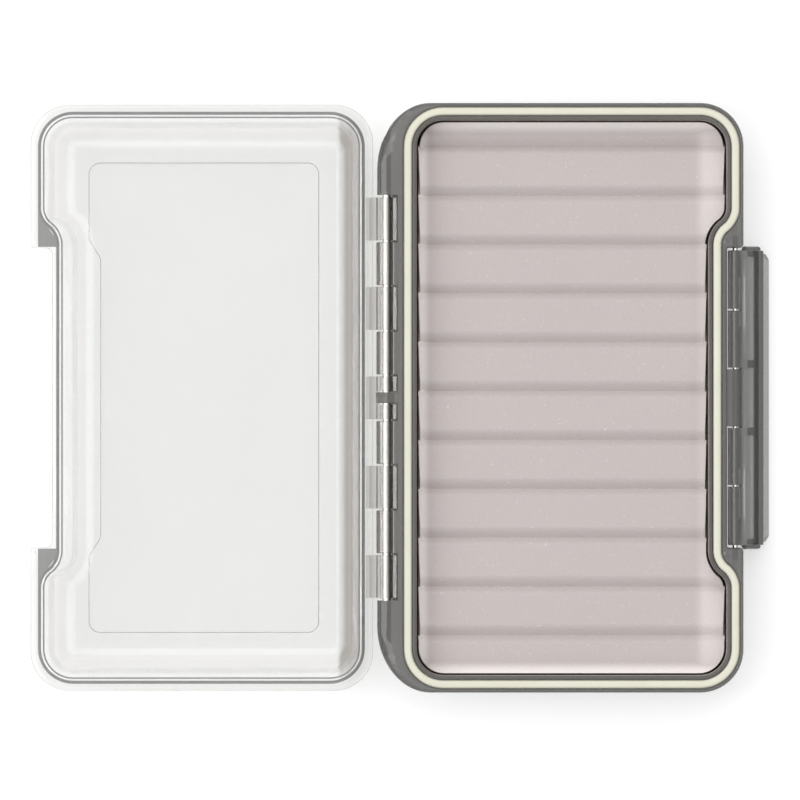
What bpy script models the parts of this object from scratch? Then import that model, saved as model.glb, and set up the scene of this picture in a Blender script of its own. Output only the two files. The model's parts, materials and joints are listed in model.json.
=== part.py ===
"""A waterproof fly box for dry flies, lying open flat: a smoke tray with rippled foam and a clear lid.

Metres, +Z up. The origin is the centre of the tray's underside. +X points from the hinge across the
tray to the latch, and the box's long side runs along Y. The lid lies open at -X, turned 180 degrees
about the hinge, and the latch hangs open at the front of the tray.
"""

import math

import bmesh
import bpy
from mathutils import Vector

MM = 0.001

# Tray: outer width (X), length (Y) and height, and the front recess that holds the latch.
TRAY_WIDTH = 93.2 * MM
TRAY_LENGTH = 150.0 * MM
TRAY_HEIGHT = 20.0 * MM
TRAY_CORNER = 11.0 * MM
TRAY_REAR_CORNER = (13.5 * MM, 17.0 * MM)
RECESS_DEPTH = 4.2 * MM
RECESS_HALF = 38.1 * MM
TRAY_FLOOR = 1.8 * MM
RIM_ROUNDING = 0.35 * MM

# Hinge: a barrel along the tray's rear edge, its top level with the rim.
END_BARREL_RADIUS = 2.4 * MM
KNUCKLE_RADIUS = 2.6 * MM
KNUCKLE_PITCH = 11.37 * MM
KNUCKLE_GAP = 0.45 * MM
KNUCKLES = 9
KNUCKLE_CLEARANCE_RADIUS = 3.75 * MM
HINGE_X = -TRAY_WIDTH / 2 + END_BARREL_RADIUS
HINGE_Z = TRAY_HEIGHT - END_BARREL_RADIUS
HINGE_CUTOUT_HALF = 51.55 * MM
HINGE_STEP = 0.7 * MM
POCKET_EDGE = 3.1 * MM
POCKET_FLOOR = 10.0 * MM
TAB_HALF = 1.4 * MM
PIN_RADIUS = 0.75 * MM
BORE_RADIUS = 0.80 * MM
HINGE_PIN_HALF = 65.0 * MM

# Seal line: the middle of the gasket, measured from the hinge axis.
SEAL_REAR = 5.4 * MM
SEAL_FRONT = 88.8 * MM
SEAL_HALF = 72.9 * MM
SEAL_CORNER = 9.0 * MM
SEAL_RECESS = 84.15 * MM
SEAL_SWERVE = ((45.2 * MM, 6.0 * MM), (41.6 * MM, 5.0 * MM))
GASKET_HALF_WIDTH = 1.05 * MM
GROOVE_HALF_WIDTH = 1.3 * MM
GROOVE_FLOOR = 17.6 * MM
GASKET_BOTTOM = 17.9 * MM
GASKET_TOP = 19.55 * MM
CAVITY_INSET = 2.95 * MM

# Lid, measured from the hinge axis at rest: it reaches towards -X and its depth is below the axis.
LID_NEAR = 3.4 * MM
LID_FAR = 90.6 * MM
LID_HALF = 74.6 * MM
LID_CORNER = 10.0 * MM
LID_RECESS = 85.15 * MM
LID_RECESS_HALF = 38.0 * MM
LID_FACE = 2.7 * MM
LIP_BACK = 4.0 * MM
TONGUE_TIP = 2.1 * MM
LID_FLOOR_THICKNESS = 1.6 * MM
PANEL_DEPTH = 0.25 * MM
PANEL_NEAR = 17.2 * MM
PANEL_FAR = 76.0 * MM
PANEL_HALF = 60.0 * MM
PANEL_RECESS = 73.0 * MM
PANEL_CORNER = 3.0 * MM
PANEL_SWERVE = ((40.2 * MM, PANEL_CORNER), (35.6 * MM, PANEL_CORNER))
CATCH_SPAN = (17.8 * MM, 29.5 * MM)
CATCH_REACH = (81.2 * MM, 84.6 * MM)
CATCH_DEPTH = 5.3 * MM

# Foam and the sheet of adhesive that holds it down.
SHEET_BOTTOM = 2.0 * MM
SHEET_TOP = 2.25 * MM
FOAM_BOTTOM = 2.45 * MM
FOAM_TOP = 12.5 * MM
FOAM_INSET = 3.2 * MM
RIPPLE_PITCH = 12.44 * MM
RIPPLE_OFFSET = 1.6 * MM
RIPPLES = 11
VALLEY_WIDTH = 5.6 * MM
VALLEY_FLOOR_WIDTH = 1.4 * MM
VALLEY_DEPTH = 2.4 * MM

# Latch: its pin, its plate when shut, and how far below level it hangs.
LATCH_X = HINGE_X + 88.8 * MM
LATCH_Z = 16.1 * MM
LATCH_BARREL = 2.0 * MM
LATCH_HALF = 37.7 * MM
LATCH_HEIGHT = 17.2 * MM
LATCH_HANG = math.radians(58.0)
LUG_HALF = 7.3 * MM
LUG_REACH = 2.6 * MM
LATCH_PIN_HALF = 41.0 * MM
BARREL_SPLIT = 22.4 * MM
HOOK_LOW = 8.5 * MM
HOOK_HIGH = 10.9 * MM
HOOK_REACH = 1.8 * MM
RIB_FACE = -0.05 * MM
PLATE_FACE = 0.4 * MM
PLATE_TAPER = 14.0 * MM
POCKET_FACE = 0.75 * MM
POCKET_LOW = 3.4 * MM
POCKET_SPAN = (9.6 * MM, 35.9 * MM)
MIDDLE_POCKET_HALF = 7.6 * MM
SLIT_SPAN = (18.0 * MM, 30.7 * MM)
SLIT_HEIGHTS = (4.9 * MM, 6.1 * MM)
TIP_CHAMFER = 3.1 * MM

ARC_STEPS = (9, 9, 5, 5, 5, 5, 9, 9)
TIGHTEST_CORNER = 0.15 * MM
BARREL_SIDES = 32
PIN_SIDES = 24
BEYOND = 5.0 * MM
NUDGE = 0.01 * MM


# ---- outlines -------------------------------------------------------------------------------------


def box_corners(rear, front, half, recess, swerve, corner, rear_corner):
    """The eight corners of an outline with a front recess, counter-clockwise: x, y, radius in, radius out."""
    (outer_y, outer_radius), (inner_y, inner_radius) = swerve
    along, across = rear_corner
    return [
        (rear, -half, across, along),
        (front, -half, corner, corner),
        (front, -outer_y, outer_radius, outer_radius),
        (recess, -inner_y, inner_radius, inner_radius),
        (recess, inner_y, inner_radius, inner_radius),
        (front, outer_y, outer_radius, outer_radius),
        (front, half, corner, corner),
        (rear, half, along, across),
    ]


def edge_insets(side, rear=None, recess=None):
    """One inset for each edge of box_corners, in its order."""
    rear = side if rear is None else rear
    recess = side if recess is None else recess
    return [side, side, recess, recess, recess, side, side, rear]


def offset_corners(corners, insets):
    """The corners with each edge moved inwards by its own inset, and the radii changed to suit."""
    count = len(corners)
    points = [Vector(corner[:2]) for corner in corners]
    ways = [(points[(i + 1) % count] - points[i]).normalized() for i in range(count)]
    inward = [Vector((-way.y, way.x)) for way in ways]
    moved = []
    for i, (_, _, radius_in, radius_out) in enumerate(corners):
        before, after = ways[i - 1], ways[i]
        start = points[i] + inward[i - 1] * insets[i - 1]
        target = points[i] + inward[i] * insets[i]
        turn = before.x * after.y - before.y * after.x
        reach = ((target - start).x * after.y - (target - start).y * after.x) / turn
        place = start + before * reach
        change = -1 if turn > 0 else 1
        radii = (
            max(TIGHTEST_CORNER, radius_in + change * insets[i]),
            max(TIGHTEST_CORNER, radius_out + change * insets[i - 1]),
        )
        moved.append((place.x, place.y, *radii))
    return moved


def tangent_lengths(corners):
    """How far each corner's arc reaches along its two edges, cut down where an edge is too short for both."""
    count = len(corners)
    points = [Vector(corner[:2]) for corner in corners]
    edges = [points[(i + 1) % count] - points[i] for i in range(count)]
    reaches = []
    for i, (_, _, radius_in, radius_out) in enumerate(corners):
        slope = math.tan(edges[i - 1].angle(edges[i]) / 2)
        reaches.append((radius_in * slope, radius_out * slope))
    shares = [1.0] * count
    for i, edge in enumerate(edges):
        after = (i + 1) % count
        share = 0.98 * edge.length / (reaches[i][1] + reaches[after][0])
        shares[i] = min(shares[i], share)
        shares[after] = min(shares[after], share)
    return [(share * into, share * out) for share, (into, out) in zip(shares, reaches)]


def rounded(corners):
    """The points of the outline, each corner a conic arc that is tangent to both edges."""
    count = len(corners)
    points = [Vector(corner[:2]) for corner in corners]
    outline = []
    for i, (reach_in, reach_out) in enumerate(tangent_lengths(corners)):
        before = (points[i] - points[i - 1]).normalized()
        after = (points[(i + 1) % count] - points[i]).normalized()
        start = points[i] - before * reach_in
        end = points[i] + after * reach_out
        weight = math.cos(before.angle(after) / 2)
        for step in range(ARC_STEPS[i] + 1):
            t = step / ARC_STEPS[i]
            shares = ((1 - t) ** 2, 2 * weight * t * (1 - t), t**2)
            blend = start * shares[0] + points[i] * shares[1] + end * shares[2]
            outline.append(blend / sum(shares))
    return outline


def ring(corners, insets, z, flipped=False):
    """One level of a shell. A flipped ring is the outline turned over to the other side of the hinge."""
    outline = rounded(offset_corners(corners, insets))
    sign = -1 if flipped else 1
    return [Vector((sign * point.x, point.y, z)) for point in outline]


# ---- solids ---------------------------------------------------------------------------------------


def loft(bm, rings, looped=False):
    """Skin a run of rings. The ends are capped, or joined to each other where the run is a loop."""
    rows = [[bm.verts.new(point) for point in level] for level in rings]
    pairs = list(zip(rows, rows[1:]))
    if looped:
        pairs.append((rows[-1], rows[0]))
    else:
        bm.faces.new(rows[0])
        bm.faces.new(rows[-1])
    for low, high in pairs:
        for i, vert in enumerate(low):
            bm.faces.new((low[i - 1], vert, high[i], high[i - 1]))
    bmesh.ops.recalc_face_normals(bm, faces=bm.faces)


def extrude(bm, outline, run):
    """The solid that a flat outline sweeps as it moves along a vector."""
    face = bm.faces.new([bm.verts.new(point) for point in outline])
    extruded = bmesh.ops.extrude_face_region(bm, geom=[face])
    tops = [item for item in extruded["geom"] if isinstance(item, bmesh.types.BMVert)]
    bmesh.ops.translate(bm, vec=run, verts=tops)
    bmesh.ops.recalc_face_normals(bm, faces=bm.faces)


def add_prism(bm, profile, low_y, high_y):
    """A solid of one XZ profile between two places along Y."""
    extrude(bm, [(x, low_y, z) for x, z in profile], (0, high_y - low_y, 0))


def add_bar(bm, profile, low_x, high_x):
    """A solid of one YZ profile between two places along X."""
    extrude(bm, [(low_x, y, z) for y, z in profile], (high_x - low_x, 0, 0))


def add_slab(bm, outline, low_z, high_z):
    """A solid of one XY outline between two heights."""
    extrude(bm, [(point.x, point.y, low_z) for point in outline], (0, 0, high_z - low_z))


def rectangle(low_x, high_x, low_z, high_z):
    return [(low_x, low_z), (high_x, low_z), (high_x, high_z), (low_x, high_z)]


def arc(radius, start, end, sides=BARREL_SIDES):
    """Points on a circle about the axis, from one angle to another in degrees."""
    steps = max(1, round(abs(end - start) / 360 * sides))
    angles = [math.radians(start + (end - start) * step / steps) for step in range(steps + 1)]
    return [(radius * math.cos(angle), radius * math.sin(angle)) for angle in angles]


def circle(radius, sides):
    return arc(radius, 0, 360, sides)[:-1]


def make_object(name, bm, location=(0, 0, 0), turn=0.0):
    """An object from a bmesh, with its origin at its joint's axis where it moves."""
    mesh = bpy.data.meshes.new(name)
    bm.to_mesh(mesh)
    bm.free()
    mesh.shade_smooth()
    mesh.set_sharp_from_angle(angle=math.radians(35))
    obj = bpy.data.objects.new(name, mesh)
    bpy.context.scene.collection.objects.link(obj)
    obj.location = location
    obj.rotation_euler = (0, turn, 0)
    return obj


def helper(name, bm, owner):
    """A hidden operand of a Boolean, placed as the piece it shapes."""
    obj = make_object(name, bm, owner.location, owner.rotation_euler.y)
    obj.hide_render = True
    obj.display_type = "WIRE"
    return obj


def combine(owner, operand, operation):
    modifier = owner.modifiers.new(operand.name, "BOOLEAN")
    modifier.operation = operation
    modifier.solver = "EXACT"
    modifier.object = operand


def paint(obj, colour, roughness, metallic=0.0, alpha=1.0):
    material = bpy.data.materials.new(obj.name)
    material.use_nodes = True
    shader = material.node_tree.nodes["Principled BSDF"]
    shader.inputs["Base Color"].default_value = (*colour, 1)
    shader.inputs["Roughness"].default_value = roughness
    shader.inputs["Metallic"].default_value = metallic
    shader.inputs["Alpha"].default_value = alpha
    obj.data.materials.append(material)


# ---- shared outlines ------------------------------------------------------------------------------


def tray_corners():
    """The tray's outer outline, measured from the hinge axis."""
    rear = -END_BARREL_RADIUS
    front = rear + TRAY_WIDTH
    step = ((RECESS_HALF, 1.0 * MM), (RECESS_HALF, 0.5 * MM))
    rear_corner = TRAY_REAR_CORNER
    return box_corners(
        rear, front, TRAY_LENGTH / 2, front - RECESS_DEPTH, step, TRAY_CORNER, rear_corner
    )


def seal_corners():
    rear_corner = (SEAL_CORNER, SEAL_CORNER)
    return box_corners(
        SEAL_REAR, SEAL_FRONT, SEAL_HALF, SEAL_RECESS, SEAL_SWERVE, SEAL_CORNER, rear_corner
    )


def lid_corners():
    step = ((LID_RECESS_HALF, 0.8 * MM), (LID_RECESS_HALF, 1.5 * MM))
    rear_corner = (LID_CORNER, LID_CORNER)
    return box_corners(LID_NEAR, LID_FAR, LID_HALF, LID_RECESS, step, LID_CORNER, rear_corner)


def knuckle_spans(parity):
    """The Y span of every second knuckle, from the end of the hinge: 0 for the lid's, 1 for the tray's."""
    half = (KNUCKLE_PITCH - KNUCKLE_GAP) / 2
    middles = [(i - (KNUCKLES - 1) / 2) * KNUCKLE_PITCH for i in range(parity, KNUCKLES, 2)]
    return [(middle - half, middle + half) for middle in middles]


# ---- tray -----------------------------------------------------------------------------------------


def tray_shell():
    """The tray's pan, lip, gasket groove and inner rim, from the underside round to the cavity's floor."""
    outer = tray_corners()
    seal = seal_corners()
    barrel = END_BARREL_RADIUS
    # Height, inset of the sides and front, inset of the rear, all in millimetres.
    wall = [
        (0.0, 6.0, 10.6),
        (0.3, 5.0, 9.6),
        (1.1, 4.1, 8.7),
        (2.4, 3.6, 8.2),
        (5.2, 3.3, 7.9),
        (13.8, 2.7, 7.4),
        (14.3, 2.2, 6.8),
        (14.6, 0.9, 5.2),
    ]
    rings = [ring(outer, edge_insets(side * MM, rear * MM), z * MM) for z, side, rear in wall]
    for angle in range(-90, 91, 30):
        rear = barrel * (1 - math.cos(math.radians(angle)))
        side = RIM_ROUNDING if abs(angle) == 90 else 0.0
        z = HINGE_Z + barrel * math.sin(math.radians(angle))
        rings.append(ring(outer, edge_insets(side, rear), z))
    rim_top = GASKET_TOP - 0.05 * MM
    inside = [
        (TRAY_HEIGHT, -GROOVE_HALF_WIDTH),
        (GROOVE_FLOOR, -GROOVE_HALF_WIDTH),
        (GROOVE_FLOOR, GROOVE_HALF_WIDTH),
        (rim_top, GROOVE_HALF_WIDTH),
        (rim_top, CAVITY_INSET - 0.2 * MM),
        (rim_top - 0.2 * MM, CAVITY_INSET),
        (TRAY_FLOOR, CAVITY_INSET + 0.15 * MM),
    ]
    rings += [ring(seal, edge_insets(inset), z) for z, inset in inside]
    for level in rings:
        for point in level:
            point.x += HINGE_X
    bm = bmesh.new()
    loft(bm, rings)
    return bm


def hinge_step():
    """A shallow step along the tray's rear strip, which sets the webs of its knuckles below the rim."""
    bm = bmesh.new()
    outside = HINGE_X - END_BARREL_RADIUS - BEYOND
    high_z = TRAY_HEIGHT + BEYOND
    step = rectangle(outside, HINGE_X + POCKET_EDGE, TRAY_HEIGHT - HINGE_STEP, high_z)
    add_prism(bm, step, -HINGE_CUTOUT_HALF, HINGE_CUTOUT_HALF)
    return bm


def knuckle_pockets():
    """A pocket right through the tray's rear strip for each of the lid's knuckles."""
    bm = bmesh.new()
    outside = HINGE_X - END_BARREL_RADIUS - BEYOND
    pocket = rectangle(outside, HINGE_X + POCKET_EDGE, POCKET_FLOOR, TRAY_HEIGHT + BEYOND)
    spans = [(low - KNUCKLE_GAP, high + KNUCKLE_GAP) for low, high in knuckle_spans(0)]
    spans[0] = (-HINGE_CUTOUT_HALF - NUDGE, spans[0][1])
    spans[-1] = (spans[-1][0], HINGE_CUTOUT_HALF + NUDGE)
    for low, high in spans:
        add_prism(bm, pocket, low, high)
    return bm


def tray_knuckles():
    """The tray's four knuckles with their webs, and the narrow tab in the middle of the hinge."""
    bm = bmesh.new()
    web_top, web_low = 1.5 * MM, -1.6 * MM
    web_end = SEAL_REAR - GROOVE_HALF_WIDTH - 0.3 * MM
    first = math.degrees(math.asin(web_top / KNUCKLE_RADIUS))
    last = 360 + math.degrees(math.asin(web_low / KNUCKLE_RADIUS))
    profile = [(web_end, web_top)] + arc(KNUCKLE_RADIUS, first, last) + [(web_end, web_low)]
    profile = [(HINGE_X + x, HINGE_Z + z) for x, z in profile]
    for low, high in knuckle_spans(1):
        add_prism(bm, profile, low, high)
    reach = KNUCKLE_RADIUS + 0.1 * MM
    tab = rectangle(HINGE_X - reach, HINGE_X + web_end, HINGE_Z - 2.0 * MM, HINGE_Z + 2.3 * MM)
    add_prism(bm, tab, -TAB_HALF, TAB_HALF)
    return bm


def latch_lug():
    """The lug in the middle of the recess that carries the latch's pin."""
    bm = bmesh.new()
    profile = [(-LUG_REACH, LATCH_BARREL)] + arc(LATCH_BARREL, 90, -90)
    profile.append((-LUG_REACH, -LATCH_BARREL))
    add_prism(bm, [(LATCH_X + x, LATCH_Z + z) for x, z in profile], -LUG_HALF, LUG_HALF)
    return bm


def pin_bores():
    """Both pins' bores in the tray: the hinge's is open at +Y, and the latch's is blind at both ends."""
    bm = bmesh.new()
    end = 0.3 * MM
    hinge = [(HINGE_X + x, HINGE_Z + z) for x, z in circle(BORE_RADIUS, PIN_SIDES)]
    add_prism(bm, hinge, -HINGE_PIN_HALF - end, TRAY_LENGTH / 2 + BEYOND)
    latch = [(LATCH_X + x, LATCH_Z + z) for x, z in circle(BORE_RADIUS, PIN_SIDES)]
    add_prism(bm, latch, -LATCH_PIN_HALF - end, LATCH_PIN_HALF + end)
    return bm


def build_tray():
    tray = make_object("base_tray", tray_shell())
    combine(tray, helper("cut_hinge_step", hinge_step(), tray), "DIFFERENCE")
    combine(tray, helper("cut_knuckle_pockets", knuckle_pockets(), tray), "DIFFERENCE")
    combine(tray, helper("add_tray_knuckles", tray_knuckles(), tray), "UNION")
    combine(tray, helper("add_latch_lug", latch_lug(), tray), "UNION")
    combine(tray, helper("cut_pin_bores", pin_bores(), tray), "DIFFERENCE")
    paint(tray, (0.17, 0.16, 0.145), 0.25, alpha=0.85)


# ---- lid ------------------------------------------------------------------------------------------


def lid_shell():
    """The lid's shell in millimetre levels below the hinge axis: outside up to the lip, then inside down."""
    outer = lid_corners()
    seal = seal_corners()
    floor = -HINGE_Z + LID_FLOOR_THICKNESS
    # Height, then insets from the seal line of the sides, the hinge side and the recess.
    outside = [
        (-17.6, 7.0, 5.6, 8.6),
        (-17.25, 5.6, 4.4, 7.2),
        (-16.3, 4.1, 3.1, 6.0),
        (-14.5, 2.9, 2.1, 5.0),
        (-12.0, 2.0, 1.4, 4.2),
        (-8.0, 1.1, 0.8, 3.2),
        (-4.4, 0.4, 0.3, 2.3),
    ]
    inside = [
        (-2.3, 1.75, 1.75, 1.75),
        (-4.4, 2.0, 1.95, 3.6),
        (-8.0, 2.7, 2.4, 4.8),
        (-11.5, 3.7, 3.1, 5.9),
        (-13.8, 5.1, 4.1, 7.1),
        (-15.3, 6.9, 5.5, 8.6),
        (floor / MM, 8.8, 7.0, 10.3),
    ]

    def seal_ring(z, side, rear, recess):
        return ring(seal, edge_insets(side * MM, rear * MM, recess * MM), z * MM, flipped=True)

    rings = [seal_ring(*level) for level in outside]
    lip = [
        (-LIP_BACK, 0.9 * MM),
        (-LIP_BACK, 0.15 * MM),
        (-LIP_BACK + 0.2 * MM, 0.0),
        (-LID_FACE - 0.15 * MM, 0.0),
        (-LID_FACE, 0.15 * MM),
    ]
    rings += [ring(outer, edge_insets(inset), z, flipped=True) for z, inset in lip]
    tongue = [(-LID_FACE, 0.0), (-TONGUE_TIP, 0.1 * MM), (-TONGUE_TIP, 1.6 * MM)]
    rings += [ring(seal, edge_insets(inset), z, flipped=True) for z, inset in tongue]
    rings += [seal_ring(*level) for level in inside]
    bm = bmesh.new()
    loft(bm, rings)
    return bm


def lid_knuckles():
    """The lid's five knuckles, each on an arm that runs under the lip."""
    bm = bmesh.new()
    arm_root = 6.3 * MM
    under_lip = LID_FACE + 0.05 * MM
    shoulder = 2.9 * MM
    first = 32.0
    last = 95.0 - 360.0
    profile = [(arm_root, under_lip), (shoulder, under_lip)]
    profile += arc(KNUCKLE_RADIUS, first, last)
    profile += [(3.6 * MM, LIP_BACK - 0.05 * MM), (arm_root, LIP_BACK - 0.05 * MM)]
    for low, high in knuckle_spans(0):
        add_prism(bm, [(-x, -z) for x, z in profile], low, high)
    return bm


def lid_catches():
    """Two blocks behind the lip of the recess, which the latch's hook snaps over."""
    bm = bmesh.new()
    low, high = CATCH_SPAN
    near, far = CATCH_REACH
    block = rectangle(-far, -near, -CATCH_DEPTH, -LIP_BACK + 0.2 * MM)
    add_prism(bm, block, low, high)
    add_prism(bm, block, -high, -low)
    return bm


def lid_slot():
    """The slot that clears the tray's tab as the lid turns."""
    bm = bmesh.new()
    half = TAB_HALF + 0.3 * MM
    add_prism(bm, circle(KNUCKLE_CLEARANCE_RADIUS, BARREL_SIDES), -half, half)
    return bm


def lid_bore():
    bm = bmesh.new()
    half = HINGE_CUTOUT_HALF + BEYOND
    add_prism(bm, circle(BORE_RADIUS, PIN_SIDES), -half, half)
    return bm


def label_panel():
    """The shallow panel in the lid's outer face, with a side that follows the recess."""
    bm = bmesh.new()
    rear_corner = (PANEL_CORNER, PANEL_CORNER)
    corners = box_corners(
        PANEL_NEAR, PANEL_FAR, PANEL_HALF, PANEL_RECESS, PANEL_SWERVE, PANEL_CORNER, rear_corner
    )
    outline = ring(corners, edge_insets(0.0), 0.0, flipped=True)
    add_slab(bm, outline, -HINGE_Z - BEYOND, -HINGE_Z + PANEL_DEPTH)
    return bm


def build_lid():
    lid = make_object("clear_lid", lid_shell(), (HINGE_X, 0, HINGE_Z))
    combine(lid, helper("add_lid_knuckles", lid_knuckles(), lid), "UNION")
    combine(lid, helper("add_lid_catches", lid_catches(), lid), "UNION")
    combine(lid, helper("cut_lid_slot", lid_slot(), lid), "DIFFERENCE")
    combine(lid, helper("cut_lid_bore", lid_bore(), lid), "DIFFERENCE")
    combine(lid, helper("cut_label_panel", label_panel(), lid), "DIFFERENCE")
    paint(lid, (0.9, 0.9, 0.89), 0.1, alpha=0.35)


# ---- what lies in the tray ------------------------------------------------------------------------


def shifted_seal_slab(name, inset, low_z, high_z):
    bm = bmesh.new()
    add_slab(bm, ring(seal_corners(), edge_insets(inset), 0.0), low_z, high_z)
    bmesh.ops.translate(bm, vec=(HINGE_X, 0, 0), verts=bm.verts)
    return make_object(name, bm)


def build_gasket():
    """A ring of soft rubber with rounded upper edges, loose in its groove."""
    half = GASKET_HALF_WIDTH
    round_off = 0.3 * MM
    section = [
        (-half, GASKET_BOTTOM),
        (-half, GASKET_TOP - round_off),
        (-half + round_off, GASKET_TOP),
        (half - round_off, GASKET_TOP),
        (half, GASKET_TOP - round_off),
        (half, GASKET_BOTTOM),
    ]
    bm = bmesh.new()
    loft(bm, [ring(seal_corners(), edge_insets(inset), z) for inset, z in section], looped=True)
    bmesh.ops.translate(bm, vec=(HINGE_X, 0, 0), verts=bm.verts)
    paint(make_object("rim_gasket", bm), (0.79, 0.77, 0.65), 0.6)


def ripple_valleys():
    """A cutter for each valley between two ripples: a V with a narrow floor."""
    bm = bmesh.new()
    half, floor_half = VALLEY_WIDTH / 2, VALLEY_FLOOR_WIDTH / 2
    floor = FOAM_TOP - VALLEY_DEPTH
    side = [(half, FOAM_TOP + BEYOND), (half, FOAM_TOP), (floor_half, floor)]
    profile = side + [(-across, z) for across, z in reversed(side)]
    for i in range(RIPPLES):
        middle = RIPPLE_OFFSET + (i - (RIPPLES - 1) / 2) * RIPPLE_PITCH
        valley = [(middle + across, z) for across, z in profile]
        add_bar(bm, valley, HINGE_X, HINGE_X + SEAL_FRONT + BEYOND)
    return bm


def build_foam():
    sheet = shifted_seal_slab("foam_adhesive_sheet", FOAM_INSET + 0.3 * MM, SHEET_BOTTOM, SHEET_TOP)
    paint(sheet, (0.8, 0.78, 0.7), 0.5)
    foam = shifted_seal_slab("ripple_foam", FOAM_INSET, FOAM_BOTTOM, FOAM_TOP)
    combine(foam, helper("cut_ripple_valleys", ripple_valleys(), foam), "DIFFERENCE")
    paint(foam, (0.6, 0.54, 0.53), 0.9)


def build_pins():
    """Two plain steel pins with chamfered ends."""
    chamfer = 0.2 * MM
    pins = (
        ("hinge_pin", HINGE_X, HINGE_Z, HINGE_PIN_HALF),
        ("latch_pin", LATCH_X, LATCH_Z, LATCH_PIN_HALF),
    )
    for name, x, z, half in pins:
        levels = [
            (PIN_RADIUS - chamfer, -half),
            (PIN_RADIUS, -half + chamfer),
            (PIN_RADIUS, half - chamfer),
            (PIN_RADIUS - chamfer, half),
        ]
        bm = bmesh.new()
        loft(bm, [[Vector((a, y, b)) for a, b in circle(r, PIN_SIDES)] for r, y in levels])
        paint(make_object(name, bm, (x, 0, z)), (0.62, 0.61, 0.6), 0.25, metallic=1.0)


# ---- latch ----------------------------------------------------------------------------------------


def latch_body():
    """The latch as it stands when shut upright: barrel, plate and hook in one profile, +X outwards."""
    profile = [
        (LATCH_BARREL, PLATE_TAPER),
        (1.6 * MM, 16.6 * MM),
        (1.15 * MM, LATCH_HEIGHT),
        (PLATE_FACE, LATCH_HEIGHT),
        (PLATE_FACE, HOOK_HIGH),
        (-HOOK_REACH, HOOK_HIGH),
        (-HOOK_REACH, HOOK_LOW),
        (RIB_FACE, HOOK_LOW),
        (RIB_FACE, 3.0 * MM),
    ]
    profile += arc(LATCH_BARREL, 126.87, 360)
    bm = bmesh.new()
    add_prism(bm, profile, -LATCH_HALF, LATCH_HALF)
    return bm


def latch_cuts():
    """The gap for the tray's lug, the splits in the barrel, and the pockets between the ribs."""
    bm = bmesh.new()
    reach = 2 * LATCH_BARREL
    lug_gap = LUG_HALF + 0.35 * MM
    add_prism(bm, rectangle(-reach, reach, -reach, 3.15 * MM), -lug_gap, lug_gap)
    split_half = 0.2 * MM
    for y in (-BARREL_SPLIT, BARREL_SPLIT):
        add_prism(bm, rectangle(-reach, reach, -reach, 2.6 * MM), y - split_half, y + split_half)
    pocket = rectangle(-LATCH_BARREL, POCKET_FACE, POCKET_LOW, HOOK_LOW - NUDGE)
    inner, outer = POCKET_SPAN
    middle = MIDDLE_POCKET_HALF
    for low, high in ((-outer, -inner), (-middle, middle), (inner, outer)):
        add_prism(bm, pocket, low, high)
    return bm


def latch_slits():
    """Two slits right through the plate, one in front of each catch."""
    bm = bmesh.new()
    low, high = SLIT_SPAN
    profile = rectangle(-BEYOND, BEYOND, *SLIT_HEIGHTS)
    add_prism(bm, profile, low, high)
    add_prism(bm, profile, -high, -low)
    return bm


def latch_corners():
    """Wedges that take the corners off the plate's free edge."""
    bm = bmesh.new()
    side, top = LATCH_HALF + NUDGE, LATCH_HEIGHT + NUDGE
    out = BEYOND + TIP_CHAMFER
    wedge = [(side, top - TIP_CHAMFER), (side + out, top - TIP_CHAMFER), (side + out, top + out)]
    wedge += [(side - TIP_CHAMFER, top + out), (side - TIP_CHAMFER, top)]
    for sign in (-1, 1):
        add_bar(bm, [(sign * y, z) for y, z in wedge], -BEYOND, BEYOND)
    return bm


def latch_bore():
    bm = bmesh.new()
    add_prism(bm, circle(BORE_RADIUS, PIN_SIDES), -LATCH_HALF - BEYOND, LATCH_HALF + BEYOND)
    return bm


def build_latch():
    turn = math.radians(90) + LATCH_HANG
    latch = make_object("front_latch", latch_body(), (LATCH_X, 0, LATCH_Z), turn)
    combine(latch, helper("cut_latch_pockets", latch_cuts(), latch), "DIFFERENCE")
    combine(latch, helper("cut_latch_slits", latch_slits(), latch), "DIFFERENCE")
    combine(latch, helper("cut_latch_corners", latch_corners(), latch), "DIFFERENCE")
    combine(latch, helper("cut_latch_bore", latch_bore(), latch), "DIFFERENCE")
    paint(latch, (0.12, 0.12, 0.115), 0.25, alpha=0.85)


def clear_scene():
    for obj in list(bpy.data.objects):
        bpy.data.objects.remove(obj, do_unlink=True)


clear_scene()
build_tray()
build_lid()
build_gasket()
build_foam()
build_pins()
build_latch()
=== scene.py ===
"""Looks of a waterproof fly box that lies open flat: smoke tray, clear lid, rippled foam, gasket and latch.

Metres, +Z up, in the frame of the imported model. Lengths are given in millimetres times MM. The shells
are lofted between rounded outlines, and each moulding is one closed skin, so that light passes through it.
"""

from __future__ import annotations

import json
import logging
import math
from dataclasses import dataclass, replace
from enum import Enum
from typing import ClassVar

import bmesh
import bpy
from mathutils import Matrix, Vector


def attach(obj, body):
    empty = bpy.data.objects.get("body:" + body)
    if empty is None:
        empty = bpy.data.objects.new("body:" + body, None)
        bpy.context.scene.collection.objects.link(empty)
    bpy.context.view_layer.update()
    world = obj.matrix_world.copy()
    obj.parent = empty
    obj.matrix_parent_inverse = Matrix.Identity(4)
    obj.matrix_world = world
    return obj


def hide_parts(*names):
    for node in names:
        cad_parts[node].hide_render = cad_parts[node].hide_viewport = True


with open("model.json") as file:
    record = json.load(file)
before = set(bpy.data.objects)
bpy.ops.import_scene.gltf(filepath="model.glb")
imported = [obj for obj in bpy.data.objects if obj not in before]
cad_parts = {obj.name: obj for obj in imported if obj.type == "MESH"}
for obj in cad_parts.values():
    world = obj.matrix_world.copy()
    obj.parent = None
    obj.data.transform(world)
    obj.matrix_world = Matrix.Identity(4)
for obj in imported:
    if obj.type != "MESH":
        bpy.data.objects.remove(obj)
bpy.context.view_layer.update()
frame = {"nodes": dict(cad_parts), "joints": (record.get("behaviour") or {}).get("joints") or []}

MM = 0.001
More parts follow.
